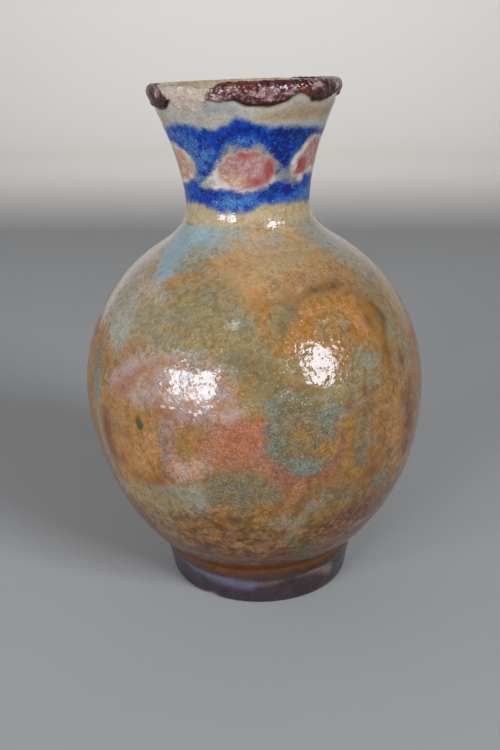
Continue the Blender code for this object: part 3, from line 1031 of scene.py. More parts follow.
class Board:
    """Lays out the shader nodes of one material."""

    def __init__(self, name: str) -> None:
        """A new material with a Principled shader and nothing linked to it.

        Args:
            name: name of the material.
        """
        self.material = bpy.data.materials.new(name)
        self.material.use_nodes = True
        self.tree = self.material.node_tree
        self.shader = self.tree.nodes["Principled BSDF"]

    def feed(self, socket: Socket, value: object) -> None:
        """Links a socket to a socket, or sets a constant on it."""
        if isinstance(value, Socket):
            self.tree.links.new(value, socket)
        else:
            socket.default_value = value

    def attribute(self, name: str) -> Socket:
        """Value that the mesh holds at each point under this name."""
        node = self.tree.nodes.new("ShaderNodeAttribute")
        node.attribute_name = name
        return node.outputs["Fac"]

    def scaled(self, size: Vector) -> Socket:
        """Object coordinates divided by a size on each axis.

        Args:
            size: what counts as 1 on each axis, in metres.

        Returns:
            The vector to lay a pattern on.
        """
        place = self.tree.nodes.new("ShaderNodeTexCoord")
        node = self.tree.nodes.new("ShaderNodeVectorMath")
        node.operation = "DIVIDE"
        self.feed(node.inputs[0], place.outputs["Object"])
        node.inputs[1].default_value = size
        return node.outputs["Vector"]

    def noise(
        self, vector: Socket, size: float, detail: float = 2.0, rough: float = 0.5, warp: float = 0.0
    ) -> Socket:
        """Fractal noise, about 0.5 with a spread of 0.15, of features of a size.

        Args:
            vector: where it is read.
            size: size of its features.
            detail, rough, warp: how much finer noise it has, and how bent.

        Returns:
            The noise.
        """
        node = self.tree.nodes.new("ShaderNodeTexNoise")
        self.feed(node.inputs["Vector"], vector)
        node.inputs["Scale"].default_value = 1 / size
        node.inputs["Detail"].default_value = detail
        node.inputs["Roughness"].default_value = rough
        node.inputs["Distortion"].default_value = warp
        return node.outputs["Fac"]

    def cells(self, vector: Socket, size: float) -> Socket:
        """Distance to the middle of the cell in a random pattern of cells of a size.

        Args:
            vector: where it is read.
            size: size of the cells.

        Returns:
            The distance, 0 to about 1.
        """
        node = self.tree.nodes.new("ShaderNodeTexVoronoi")
        self.feed(node.inputs["Vector"], vector)
        node.inputs["Scale"].default_value = 1 / size
        return node.outputs["Distance"]

    def math(self, operation: str, first: object, second: object = 0.0, third: object = 0.0) -> Socket:
        """One step of arithmetic.

        Args:
            operation: its Blender name.
            first, second, third: sockets or numbers.

        Returns:
            The result.
        """
        node = self.tree.nodes.new("ShaderNodeMath")
        node.operation = operation
        self.feed(node.inputs[0], first)
        self.feed(node.inputs[1], second)
        self.feed(node.inputs[2], third)
        return node.outputs[0]

    def step(self, value: Socket, low: float, high: float, floor: float = 0.0, top: float = 1.0) -> Socket:
        """Smooth rise from floor to top as the value goes from low to high.

        Args:
            value: what is read.
            low, high: its values at the two ends.
            floor, top: the results there.

        Returns:
            The result.
        """
        node = self.tree.nodes.new("ShaderNodeMapRange")
        node.interpolation_type = "SMOOTHSTEP"
        self.feed(node.inputs["Value"], value)
        node.inputs["From Min"].default_value = low
        node.inputs["From Max"].default_value = high
        node.inputs["To Min"].default_value = floor
        node.inputs["To Max"].default_value = top
        return node.outputs["Result"]

    def mix(self, first: object, second: object, share: object) -> Socket:
        """Colour between two colours.

        Args:
            first, second: colours at share 0 and 1.
            share: where between them.

        Returns:
            The colour.
        """
        node = self.tree.nodes.new("ShaderNodeMix")
        node.data_type = "RGBA"
        node.clamp_factor = True
        self.feed(node.inputs[0], share)
        self.feed(node.inputs[6], first)
        self.feed(node.inputs[7], second)
        return node.outputs[2]

    def tinted(self, colour: object, dark: Factors, pale: Factors, share: object) -> Socket:
        """Colour multiplied by a colour that goes from one factor to another with the share.

        Args:
            colour: the colour to change.
            dark, pale: linear factors of red, green and blue at share 0 and 1.
            share: where between them.

        Returns:
            The product.
        """
        node = self.tree.nodes.new("ShaderNodeMix")
        node.data_type = "RGBA"
        node.blend_type = "MULTIPLY"
        node.inputs[0].default_value = 1.0
        self.feed(node.inputs[6], colour)
        self.feed(node.inputs[7], self.mix((*dark, 1.0), (*pale, 1.0), share))
        return node.outputs[2]

    def ramp(self, value: Socket, stops: tuple[tuple[float, Tone], ...]) -> Socket:
        """Colour read off a ramp of display tones at places from 0 to 1.

        Args:
            value: place on the ramp.
            stops: places and the tones there, in rising order.

        Returns:
            The colour.
        """
        node = self.tree.nodes.new("ShaderNodeValToRGB")
        node.color_ramp.interpolation = "B_SPLINE"
        elements = node.color_ramp.elements
        while len(elements) < len(stops):
            elements.new(0.5)
        for element, (place, tone) in zip(elements, stops):
            element.position = place
            element.color = linear(tone)
        self.feed(node.inputs["Fac"], value)
        return node.outputs["Color"]


class GlazeFinish(Board):
    """The fired surface: every glaze and wash in one shader that reads the depth fields of the painting."""

    LIP_TOP = 207.0
    REFRACTION = 1.43
    GLOSS = (0.08, 0.15)
    FOOT_ROUGHNESS = 0.16
    CLAY_ROUGHNESS = 0.6
    PEEL_HEIGHT = 0.16
    FINE_PEEL_HEIGHT = 0.085
    FLECK_HEIGHT = 0.05
    PIT_HEIGHT = -0.07
    CLAY_HEIGHT = 0.5
    DOME_HEIGHT = 0.22
    NOISE_MEAN = 0.5
    NOISES = {
        "grain": (0.45, 0.0),
        "fleck": (1.0, 1.0, 0.6),
        "mottle": (2.3, 2.0, 0.6, 0.5),
        "patch": (6.5, 3.0, 0.6, 0.4),
        "blot": (4.2, 3.0, 0.65, 0.8),
    }
    STREAK = (1.5, 2.0, 0.6)
    STREAK_STRETCH = 4
    VEINS = (1.8, 3.0, 0.65, 1.0)
    GRAIN = (0.25, 0.75)
    FRAYING = (("fleck", 1.3), ("mottle", 1.8), ("grain", 0.9))
    # Ground tones by height: darker and browner towards the foot, partly the glaze and partly painted shade.
    GROUND_AND_LOW_SHADE = (
        (0.00, (82, 48, 22)),
        (0.12, (87, 51, 21)),
        (0.18, (94, 59, 25)),
        (0.24, (108, 74, 39)),
        (0.30, (120, 84, 48)),
        (0.38, (130, 92, 54)),
        (0.46, (134, 97, 58)),
        (0.54, (138, 101, 64)),
        (0.62, (146, 110, 74)),
        (0.70, (154, 122, 88)),
        (0.76, (154, 132, 106)),
    )

    def __init__(self, millimetre: float) -> None:
        """Lays out the noises of the surface by name, each about 0.5: size, detail, roughness and warp.

        Args:
            millimetre: length in metres of one nominal millimetre.
        """
        super().__init__("vase_glazes")
        self.millimetre = millimetre
        self.place = self.scaled(Vector((millimetre, millimetre, millimetre)))
        wide = millimetre * self.STREAK_STRETCH
        flat = self.scaled(Vector((wide, wide, millimetre)))
        self.noises = {name: self.noise(self.place, *values) for name, values in self.NOISES.items()}
        self.noises["streak"] = self.noise(flat, *self.STREAK)
        self.along = self.attribute("along")

    def make(self, washes: tuple[Wash, ...]) -> bpy.types.Material:
        """The material, its layers put down in the order of firing.

        Args:
            washes: the painted washes of the body, from the lowest layer up.

        Returns:
            The finished material.
        """
        colour = self.foot(self.inside(self.neck(self.body(washes))))
        colour, bare = self.lip(colour)
        self.feed(self.shader.inputs["Base Color"], colour)
        self.shader.inputs["IOR"].default_value = self.REFRACTION
        rough = self.step(self.noises["mottle"], 0.3, 0.7, *self.GLOSS)
        on_foot = self.step(self.attribute("foot"), -0.5, 0.5, 0.0, self.FOOT_ROUGHNESS)
        rough = self.math("MULTIPLY_ADD", bare, self.CLAY_ROUGHNESS, self.math("ADD", rough, on_foot))
        self.feed(self.shader.inputs["Roughness"], rough)
        self.surface(bare)
        return self.material

    def edge(self, field: str, ragged: float) -> Socket:
        """Depth field of a layer with its edge frayed: depth + ragged times the noises less their mean.

        Args:
            field: name of the layer's depth on the mesh.
            ragged: how far the edge strays, in millimetres.

        Returns:
            The frayed depth.
        """
        frayed = self.attribute(field)
        for name, weight in self.FRAYING:
            rest = self.math("SUBTRACT", self.noises[name], self.NOISE_MEAN)
            frayed = self.math("MULTIPLY_ADD", rest, weight * ragged, frayed)
        return frayed

    def over(
        self, colour: object, tint: Tint, value: Socket, low: float, high: float, top: float = 1.0
    ) -> Socket:
        """Colour with a tint over it, from none of it to the top share as a value goes from low to high."""
        return self.mix(colour, tint.colour, self.step(value, low, high, 0.0, top))

    def lay(
        self, colour: object, tint: Tint, field: str, ragged: float, low: float, high: float, top: float = 1.0
    ) -> Socket:
        """Colour with a tint over it where a layer is: over, with the layer's frayed depth as the value."""
        return self.over(colour, tint, self.edge(field, ragged), low, high, top)

    def play(
        self, colour: object, noise: Socket, low: float, high: float, dark: Factors, pale: Factors
    ) -> Socket:
        """Colour under the play of a noise: times the dark factors at its low end, the pale at its high."""
        return self.tinted(colour, dark, pale, self.step(noise, low, high))

    def pool(
        self, colour: Socket, tint: Tint, value: Socket, low: float, high: float, top: float, where: Socket
    ) -> Socket:
        """Colour with a tint pooled on it: over, with its share also multiplied by where it may lie."""
        share = self.math("MULTIPLY", self.step(value, low, high, 0.0, top), where)
        return self.mix(colour, tint.colour, share)

    def body(self, washes: tuple[Wash, ...]) -> Socket:
        """Honey ground by height, washes over it, the play of iron and ash in the glaze, and painted shade
        low down.

        Args:
            washes: the painted washes, from the lowest layer up.

        Returns:
            Colour of the body.
        """
        colour = self.ramp(self.math("DIVIDE", self.along, self.LIP_TOP), self.GROUND_AND_LOW_SHADE)
        calm = self.step(self.along, 150.0, 165.0, 0.0, 0.5)
        grit: object = 0.0
        for wash in washes:
            edge = self.edge(wash.name, wash.ragged)
            share = self.step(edge, -wash.softness, wash.softness, 0.0, wash.strength)
            colour = self.mix(colour, wash.tint.colour, share)
            if wash.calm:
                calm = self.math("MAXIMUM", calm, self.math("MULTIPLY", share, wash.calm))
            if wash.grit:
                grit = self.math("MAXIMUM", grit, self.math("MULTIPLY", share, wash.grit))
        pooled = self.step(self.attribute("pooled"), -8.0, 8.0)
        low = self.step(self.along, 78.0, 48.0)
        noises = self.noises
        colour = self.pool(colour, Tint.OCHRE, noises["blot"], 0.52, 0.62, 0.5, pooled)
        colour = self.pool(colour, Tint.UMBER, noises["blot"], 0.48, 0.36, 0.36, pooled)
        colour = self.pool(colour, Tint.UMBER, noises["streak"], 0.55, 0.7, 0.22, low)
        still = self.stilled(calm)
        # Painted shade: below 62 mm the body is darkened and reddened towards the foot.
        colour = self.play(colour, self.along, 62.0, 38.0, (1.0, 1.0, 1.0), (1.02, 0.92, 0.74))
        colour = self.play(colour, still["patch"], 0.36, 0.64, (1.07, 0.99, 0.86), (0.95, 1.02, 1.07))
        colour = self.play(colour, still["blot"], 0.36, 0.62, (0.94, 1.0, 1.06), (1.06, 1.0, 0.87))
        colour = self.play(colour, still["mottle"], 0.34, 0.6, (0.85, 0.79, 0.70), (1.07, 1.08, 1.10))
        colour = self.pool(colour, Tint.VEIL, noises["patch"], 0.46, 0.34, 0.26, pooled)
        colour = self.pool(colour, Tint.VEIL, noises["mottle"], 0.50, 0.64, 0.24, pooled)
        gritty = self.play(colour, noises["grain"], *self.GRAIN, (0.87, 0.81, 0.81), (1.12, 1.18, 1.17))
        colour = self.mix(colour, gritty, grit)
        colour = self.play(colour, still["fleck"], 0.30, 0.70, (0.91, 0.86, 0.79), (1.06, 1.09, 1.13))
        return self.play(colour, still["grain"], *self.GRAIN, (0.89, 0.87, 0.82), (1.11, 1.13, 1.17))

    def stilled(self, calm: Socket) -> dict[str, Socket]:
        """Noises drawn towards their mean: the mean plus the rest times 1 less the calm.

        Args:
            calm: 0 where the noises stay, 1 where they vanish.

        Returns:
            The noises by name.
        """
        left = self.math("SUBTRACT", 1.0, calm)
        rest = {name: self.math("SUBTRACT", self.noises[name], self.NOISE_MEAN) for name in self.NOISES}
        return {name: self.math("MULTIPLY_ADD", value, left, self.NOISE_MEAN) for name, value in rest.items()}

    def neck(self, colour: Socket) -> Socket:
        """Cream neck over a honey ring, then cobalt, halos and medallions, all over the body's colour.

        Args:
            colour: colour of the body.

        Returns:
            Colour of body and neck.
        """
        mottle, grain = self.noises["mottle"], self.noises["grain"]
        ground = self.over(Tint.HONEY_RING.colour, Tint.CREAM, self.along, 166.0, 172.0)
        ground = self.lay(ground, Tint.OCHRE_STAIN, "stain", 1.2, -2.2, 2.2, 0.9)
        ground = self.lay(ground, Tint.SMEAR, "smear", 0.8, -1.4, 1.2, 0.75)
        ground = self.play(ground, mottle, 0.32, 0.6, (0.91, 0.86, 0.76), (1.07, 1.09, 1.12))
        ground = self.play(ground, grain, *self.GRAIN, (0.88, 0.85, 0.78), (1.1, 1.12, 1.16))
        colour = self.mix(colour, ground, self.step(self.edge("ring", 0.5), -0.6, 0.7))
        veins = self.noise(self.place, *self.VEINS)
        band = self.edge("cobalt", 0.9)
        colour = self.over(colour, Tint.COBALT_EDGE, band, -1.3, 0.4, 0.7)
        colour = self.mix(colour, self.cobalt(veins), self.step(band, -0.9, 1.4))
        rim = self.edge("halo", 0.9)
        colour = self.over(colour, Tint.HALO_RIM, rim, -1.1, 0.3, 0.5)
        halo = self.play(Tint.HALO.colour, mottle, 0.32, 0.6, (0.9, 0.86, 0.74), (1.1, 1.12, 1.16))
        colour = self.mix(colour, halo, self.step(rim, -0.4, 1.2))
        stained = self.over(Tint.HALO_OCHRE.colour, Tint.COBALT_EDGE, veins, 0.5, 0.4, 0.6)
        colour = self.mix(colour, stained, self.step(self.edge("halo_ochre", 1.8), -1.2, 1.2, 0.0, 0.8))
        return self.mix(colour, self.rose(), self.step(self.edge("medallion", 0.45), -0.7, 0.7))

    def cobalt(self, veins: Socket) -> Socket:
        """Cobalt of the neck's band, deep and milky by its depth, veined dark and teal, with pale froth.

        Args:
            veins: noise that draws the veins.

        Returns:
            Colour of the cobalt.
        """
        depth = self.edge("cobalt_depth", 0.8)
        blue = self.over(Tint.COBALT.colour, Tint.COBALT_DEEP, depth, 0.15, 1.0)
        blue = self.over(blue, Tint.COBALT_MILK, depth, 0.1, -1.2, 0.8)
        blue = self.over(blue, Tint.COBALT_DEEP, veins, 0.5, 0.36, 0.85)
        blue = self.over(blue, Tint.COBALT_TEAL, veins, 0.52, 0.64, 0.8)
        thin = self.step(depth, 0.6, -0.6, 0.12, 1.0)
        blue = self.pool(blue, Tint.COBALT_FROTH, self.noises["fleck"], 0.56, 0.72, 0.6, thin)
        return self.play(blue, self.noises["grain"], *self.GRAIN, (0.56, 0.6, 0.62), (1.5, 1.42, 1.4))

    def rose(self) -> Socket:
        """Rose of the medallions, paler in blots and redder where it is thick."""
        noises = self.noises
        rose = self.over(Tint.MEDALLION.colour, Tint.MEDALLION_PALE, noises["blot"], 0.5, 0.64, 0.7)
        rose = self.lay(rose, Tint.MEDALLION_RED, "medallion_red", 0.9, -0.9, 1.3)
        rose = self.over(rose, Tint.MEDALLION_PALE, self.attribute("medallion_pale"), -2.0, 2.0, 0.7)
        rose = self.play(rose, noises["mottle"], 0.32, 0.64, (0.84, 0.72, 0.72), (1.12, 1.16, 1.14))
        rose = self.play(rose, noises["fleck"], 0.3, 0.7, (0.86, 0.8, 0.78), (1.12, 1.14, 1.14))
        return self.play(rose, noises["grain"], *self.GRAIN, (0.88, 0.86, 0.84), (1.12, 1.12, 1.12))

    def inside(self, colour: Socket) -> Socket:
        """Ochre cream glaze inside the pot, over the colour of the outside.

        Args:
            colour: colour of the outside.

        Returns:
            Colour of both.
        """
        mottle, fleck = self.noises["mottle"], self.noises["fleck"]
        tone = self.play(Tint.INSIDE.colour, mottle, 0.3, 0.7, (0.8, 0.76, 0.66), (1.2, 1.22, 1.26))
        depth = self.math("MULTIPLY_ADD", fleck, 0.6, self.along)
        return self.mix(colour, tone, self.step(depth, 204.5, 206.5))

    def foot(self, colour: Socket) -> Socket:
        """Lavender foot ring, rosy on its right, darkened as painted shade, over the colour of all above it.

        A roll of brown glaze ends the body, bare clay shows at the ring's edge on the ground, and sheen is
        painted on it.

        Args:
            colour: colour of all above the foot.

        Returns:
            Colour with the foot.
        """
        depth = self.edge("foot", 0.6)
        rosy = self.attribute("foot_rose")
        roll = self.mix(Tint.FOOT_ROLL.colour, Tint.FOOT_ROLL_DARK.colour, rosy)
        colour = self.mix(colour, roll, self.step(depth, -3.6, -0.9, 0.0, 0.85))
        # Painted shade: the foot's lavender and rose are darkened to its look in shade under the belly.
        foot_shade_and_sheen = self.mix(Tint.SHADED_LAVENDER.colour, Tint.SHADED_FOOT_ROSE.colour, rosy)
        foot_shade_and_sheen = self.play(foot_shade_and_sheen, self.noises["patch"], 0.34, 0.66, (0.8, 0.78, 0.8), (1.24, 1.24, 1.22))
        # Painted highlights: a pale bluish sheen along the foot, and a rosy blush that is partly highlight.
        foot_shade_and_sheen = self.lay(foot_shade_and_sheen, Tint.FOOT_PAINTED_SHEEN, "foot_painted_sheen", 0.9, -3.6, 1.8, 0.9)
        foot_shade_and_sheen = self.lay(foot_shade_and_sheen, Tint.FOOT_BLUSH_AND_HIGHLIGHT, "foot_blush_and_highlight", 0.9, -2.6, 1.6, 0.75)
        colour = self.mix(colour, foot_shade_and_sheen, self.step(depth, -0.8, 0.9))
        return self.lay(colour, Tint.FOOT_CLAY, "foot_clay", 1.0, -0.5, 0.5)

    def lip(self, colour: Socket) -> tuple[Socket, Socket]:
        """Manganese glaze over the lip, frothy above, near black on its rolled edge in part as painted shade,
        amber where thin.

        Args:
            colour: colour of all below the lip.

        Returns:
            The colour and the share of bare clay.
        """
        mottle, grain = self.noises["mottle"], self.noises["grain"]
        depth = self.attribute("manganese")
        bubbles = self.step(self.cells(self.place, 1.1), 0.62, 0.2, -0.9, 0.7)
        froth = self.math("ADD", self.edge("froth", 2.6), bubbles)
        brown = self.over(Tint.MANGANESE.colour, Tint.MANGANESE_FROTH, froth, -1.5, 1.7, 0.8)
        rolled = self.step(self.attribute("rolled"), 0.2, 0.8)
        # Near black at the rolled lower edge: thick manganese, and painted shade on the roll's downward face.
        brown = self.pool(brown, Tint.MANGANESE_DARK_AND_SHADE, depth, 2.5, 1.1, 1.0, rolled)
        brown = self.lay(brown, Tint.AMBER, "amber", 0.8, -0.8, 1.0, 0.9)
        brown = self.lay(brown, Tint.MANGANESE_DARK_AND_SHADE, "blotch", 0.8, -0.8, 0.9, 0.8)
        brown = self.play(brown, mottle, 0.32, 0.62, (0.56, 0.5, 0.5), (1.25, 1.25, 1.25))
        brown = self.play(brown, grain, *self.GRAIN, (0.8, 0.78, 0.76), (1.22, 1.22, 1.24))
        colour = self.lay(colour, Tint.LIP_FRINGE, "manganese", 0.5, -1.1, 0.3, 0.6)
        colour = self.mix(colour, brown, self.step(depth, -0.35, 0.45))
        clay = self.play(Tint.BARE_CLAY.colour, mottle, 0.3, 0.62, (0.86, 0.82, 0.78), (1.08, 1.09, 1.1))
        clay = self.play(clay, grain, *self.GRAIN, (0.86, 0.84, 0.8), (1.14, 1.14, 1.16))
        bare = self.step(self.edge("bare", 0.8), -0.6, 0.7)
        return self.mix(colour, clay, bare), bare

    def surface(self, bare: Socket) -> None:
        """Heights in millimetres: orange peel, many small pits, domes of froth on the lip and rough clay.

        Args:
            bare: share of bare clay.
        """
        fleck = self.noises["fleck"]
        peel = self.math("MULTIPLY", self.noise(self.place, 3.4, 1.0, 0.5), self.PEEL_HEIGHT)
        peel = self.math("MULTIPLY_ADD", self.noise(self.place, 1.6, 0.0), self.FINE_PEEL_HEIGHT, peel)
        peel = self.math("MULTIPLY_ADD", fleck, self.FLECK_HEIGHT, peel)
        pits = self.step(self.cells(self.place, 1.5), 0.30, 0.10, 0.0, self.PIT_HEIGHT)
        pits = self.math("MULTIPLY", pits, self.step(self.noises["mottle"], 0.40, 0.54))
        rough = self.math("MULTIPLY", self.math("MULTIPLY", fleck, bare), self.CLAY_HEIGHT)
        glazed = self.math("SUBTRACT", 1.0, bare)
        on_lip = self.math("MULTIPLY", self.step(self.attribute("manganese"), 0.4, 1.6), glazed)
        domes = self.step(self.cells(self.place, 1.5), 0.7, 0.0, 0.0, self.DOME_HEIGHT)
        domes = self.math("MULTIPLY", domes, on_lip)
        height = self.math("ADD", self.math("ADD", peel, pits), self.math("ADD", rough, domes))
        node = self.tree.nodes.new("ShaderNodeBump")
        node.inputs["Strength"].default_value = 1.0
        node.inputs["Distance"].default_value = self.millimetre
        self.feed(node.inputs["Height"], height)
        self.feed(self.shader.inputs["Normal"], node.outputs["Normal"])


def ring_quads(rings: int, count: int) -> np.ndarray:
    """Four-sided faces between neighbouring closed rings, all wound the same way.

    Args:
        rings: number of rings, their points numbered one ring after another.
        count: points in each ring.

    Returns:
        Four point numbers for each face.
    """
    ring = np.arange(count)
    following = (ring + 1) % count
    start = (np.arange(rings - 1) * count)[:, None]
    onward = start + count
    quads = np.stack([start + ring, start + following, onward + following, onward + ring], axis=-1)
    return quads.reshape(-1, 4)


def placed(name: str, data: bpy.types.ID) -> bpy.types.Object:
    """New object of the scene that holds this mesh, light or camera."""
    thing = bpy.data.objects.new(name, data)
    bpy.context.scene.collection.objects.link(thing)
    return thing


@dataclass
class GlazedVase:
    """The pot itself: one closed shell on a grid of angle and distance along the outline."""

    millimetre: float
    form: PotForm = PotForm()
    neck: NeckPainting = NeckPainting()
    lip: LipGlaze = LipGlaze()
    chips: Chips = Chips()
    columns: int = 360
    clay_inset: float = 0.22
    lip_inset: float = 0.7
    unevenness: tuple[tuple[float, int, float], ...] = ((0.06, 11, 26.0), (0.035, 12, 9.0))
    ring_height: float = 0.05
    rings_per_millimetre: float = 0.9
    roll_height: float = 0.18
    crease_fill: float = 0.3
    neck_hollow: float = 0.16
    right_hollow: float = 0.26
    right_drop: float = 4.2
    right_widening: float = 0.8
    hollow_along: float = 160.6
    hollow_width: float = 2.6
    foot_top: float = 12.6
    SPANS = ((-24, 6.0), (0, 1.6), (12, 1.0), (17, 0.55), (156, 1.5), (191, 0.95)) + (
        (212, 0.34), (230, 2.0), (420, 6.0)
    )
    POOLS = strokes(
        ((36, 92, 7), (50, 82, 14), (62, 74, 14)),
        ((-50, 90, 5), (-42, 78, 9)),
        ((-62, 50, 12), (-30, 44, 14), (0, 42, 14), (36, 44, 14), (70, 50, 16)),
        ((100, 50, 16), (180, 50, 18), (270, 50, 16)),
        ((140, 100, 12), (150, 90, 10)),
    )
    # Stains of neck and lip, and the foot's painted sheen and partly painted blush.
    STAINS_AND_PAINTED_SHEENS = {
        "stain": strokes(
            ((8, 193, 0.8), (24, 194.2, 2), (36, 194.6, 2.4), (50, 194.4, 2), (70, 194.6, 2.4)),
            ((-72, 193, 0.5), (-58, 192.6, 0)),
        ),
        "smear": strokes(((-33, 196.4, 0.4), (-22, 197, 1.2), (-12, 197.3, 1.5), (-5, 196.6, 0.6))),
        # Painted highlight: the foot's sheen; the blush after it is partly painted highlight.
        "foot_painted_sheen": strokes(
            ((-46, 12.4, 0.4), (-36, 11.6, 1.0), (-22, 10.4, 1.3), (-6, 9, 0.8), (1, 9, -1.6))
        ),
        "foot_blush_and_highlight": strokes(
            ((-5, 9.6, -0.5), (5, 9.8, -0.2), (18, 10.6, -1.6), (30, 11.4, 0), (40, 11, 1.0), (47, 8.4, 1.2))
        ),
        "amber": strokes(
            ((33.5, 203, 0.9), (36, 200.8, 1.5), (40, 199.2, 0.7)),
            ((-12, 205.2, 0.4), (-4, 205.4, 0.9), (5, 205.2, 0.3)),
        ),
        "blotch": dabs((61, 202, 1.6, 2.2), (48, 201, 1.2, 1.4), (-58, 199.4, 2.4, 1.6)),
        "froth": LipGlaze.FROTH,
    }

    def rows(self, along: np.ndarray) -> np.ndarray:
        """Distances along the outline at which rows of points lie, closest on the lip."""
        places = [along[0]]
        for until, step in self.SPANS:
            end = min(until, along[-1])
            count = max(int(round((end - places[-1]) / step)), 1)
            places.extend(np.linspace(places[-1], end, count + 1)[1:])
            if end == along[-1]:
                break
        return np.array(places)

    def build(self) -> bpy.types.Object:
        """The shell as one object, with its painting in its attributes and its finish in its slot."""
        outline, along = self.form.outline()
        rows = self.rows(along)
        outward = self.outward(outline, along, rows)
        angle = np.linspace(-FULL_TURN / 2, FULL_TURN / 2, self.columns, endpoint=False)
        grid_angle, grid_along = np.meshgrid(angle, rows)
        radius = np.repeat(np.interp(rows, along, outline[:, 0])[:, None], self.columns, 1)
        height = np.repeat(np.interp(rows, along, outline[:, 1])[:, None], self.columns, 1)
        chart = Chart(grid_angle, grid_along, radius, self.turned(grid_angle, radius, height))
        fields = self.fields(chart)
        relief = self.relief(chart, fields)
        radius = radius + relief * outward[:, None, 0]
        height = height + relief * outward[:, None, 1]
        radius, height = self.chips.taken(self.form, chart, radius, height)
        points = self.form.leaned(self.turned(grid_angle, radius, height)) * self.millimetre
        mesh = self.closed_mesh(points, fields)
        mesh.materials.append(GlazeFinish(self.millimetre).make(BODY_WASHES))
        return placed("glazed_vase", mesh)

    def turned(self, angle: np.ndarray, radius: np.ndarray, height: np.ndarray) -> np.ndarray:
        """Points (r sin a, -r cos a, z) of the upright pot."""
        around = np.radians(angle)
        return np.stack([radius * np.sin(around), -radius * np.cos(around), height], axis=-1)

    def outward(self, outline: np.ndarray, along: np.ndarray, rows: np.ndarray) -> np.ndarray:
        """Unit normals (r, z) of the outline at the rows: its heading nearby, turned by a quarter.

        Args:
            outline: points (r, z).
            along: distance along at those points.
            rows: distances at which normals are wanted.

        Returns:
            One normal for each row.
        """
        reach = 0.6
        before = np.clip(rows - reach, along[0], along[-1])
        after = np.clip(rows + reach, along[0], along[-1])
        run, rise = (np.interp(after, along, axis) - np.interp(before, along, axis) for axis in outline.T)
        normal = np.column_stack([rise, -run])
        return normal / np.linalg.norm(normal, axis=1, keepdims=True)

    def fields(self, chart: Chart) -> dict[str, np.ndarray]:
        """Every value that the finish reads, one for each point.

        Args:
            chart: the unrolled surface.

        Returns:
            The fields by the names under which the mesh holds them.
        """
        broad = Ripple(5, 16.0).on(chart.place)
        middle = Ripple(6, 7.0).on(chart.place)
        small = Ripple(7, 3.0).on(chart.place)
        fields = {"along": chart.along}
        for index, wash in enumerate(BODY_WASHES):
            wander = 0.6 * (middle if index % 2 else broad) + 0.5 * small
            fields[wash.name] = wash.depth(chart, wander)
        fields.update(self.neck.fields(chart, small))
        fields.update({name: union(shapes, chart) for name, shapes in self.STAINS_AND_PAINTED_SHEENS.items()})
        fields["pooled"] = np.clip(union(self.POOLS, chart) + 2 * broad, -WASH_LIMIT, WASH_LIMIT)
        fields["manganese"] = self.lip.glaze(chart, small)
        fields["bare"] = self.lip.bare(chart, small)
        fields["rolled"] = self.lip.rolled.at(chart.angle)
        front = np.cos(np.radians(chart.angle))
        fields["foot_rose"] = soft_step(chart.angle, -20, 45) * soft_step(chart.angle, 150, 90)
        fields["foot_clay"] = 0.3 + 1.6 * bell(chart.angle, -32, 13) - chart.along
        fields["foot"] = self.foot_top - 0.5 * front + 0.35 * middle - chart.along
        return fields

    def relief(self, chart: Chart, fields: dict[str, np.ndarray]) -> np.ndarray:
        """Height in millimetres over the nominal outline, never above it.

        The clay is set in a little, more at the lip, where the brown glaze brings it back out. Throwing rings
        and a low unevenness ride on the body, a roll of glaze on the crease over the foot, and a shallow
        hollow as a bell curve tightens the foot of the neck, deeper, lower and wider on its right.

        Args:
            chart: the unrolled surface.
            fields: the painting.

        Returns:
            The height at each point.
        """
        outside = soft_step(chart.along, 1.5, 5) * soft_step(chart.along, 214, 209)
        covered = soft_step(np.maximum(fields["manganese"], fields["bare"]), -2.0, 0.4)
        at_lip = soft_step(chart.along, 192, 199) * covered
        inset = self.clay_inset + (self.lip_inset - self.clay_inset) * at_lip
        uneven = rippled(chart.place, self.unevenness)
        turns = chart.along * self.rings_per_millimetre + 1.2 * Ripple(13, 40.0).on(chart.place)
        rings = self.ring_height * np.sin(turns) * soft_step(chart.along, 150, 110)
        foot = fields["foot"]
        roll = self.roll_height * bell(foot, -0.8, 1.3) + self.crease_fill * bell(foot, -2.6, 1.8)
        right = bell(chart.angle, 19, 15)
        middle = self.hollow_along - self.right_drop * right
        dip = bell(chart.along, middle, self.hollow_width + self.right_widening * right)
        hollow = (self.neck_hollow + self.right_hollow * right) * dip
        height = uneven + rings + roll - inset - hollow
        height = height + self.lip.relief(chart, fields["manganese"], fields["bare"])
        return height * outside

    def closed_mesh(self, points: np.ndarray, fields: dict[str, np.ndarray]) -> bpy.types.Mesh:
        """Closed mesh of the grid: four-sided faces between rows, and a fan to one point at each pole.

        Args:
            points: rows of points, the first and last of them on the axis.
            fields: values that become attributes of the points.

        Returns:
            The mesh, smooth, its faces pointing outwards.
        """
        poles = np.array([points[0].mean(0), points[-1].mean(0)])
        ring_points = points[1:-1].reshape(-1, 3)
        last = len(ring_points)
        ring = np.arange(self.columns)
        following = (ring + 1) % self.columns
        top = last - self.columns
        fan_under = np.stack([following, ring, np.full(self.columns, last)], axis=-1)
        fan_inside = np.stack([top + ring, top + following, np.full(self.columns, last + 1)], axis=-1)
        quads = ring_quads(len(points) - 2, self.columns)
        mesh = bpy.data.meshes.new("glazed_vase")
        faces = quads.tolist() + fan_under.tolist() + fan_inside.tolist()
        mesh.from_pydata(np.vstack([ring_points, poles]), [], faces)
        for name, field in fields.items():
            values = np.concatenate([field[1:-1].ravel(), [field[0].mean(), field[-1].mean()]])
            attribute = mesh.attributes.new(name, "FLOAT", "POINT")
            attribute.data.foreach_set("value", values.astype(np.float32))
        mesh.shade_smooth()
        mesh.validate()
        return mesh


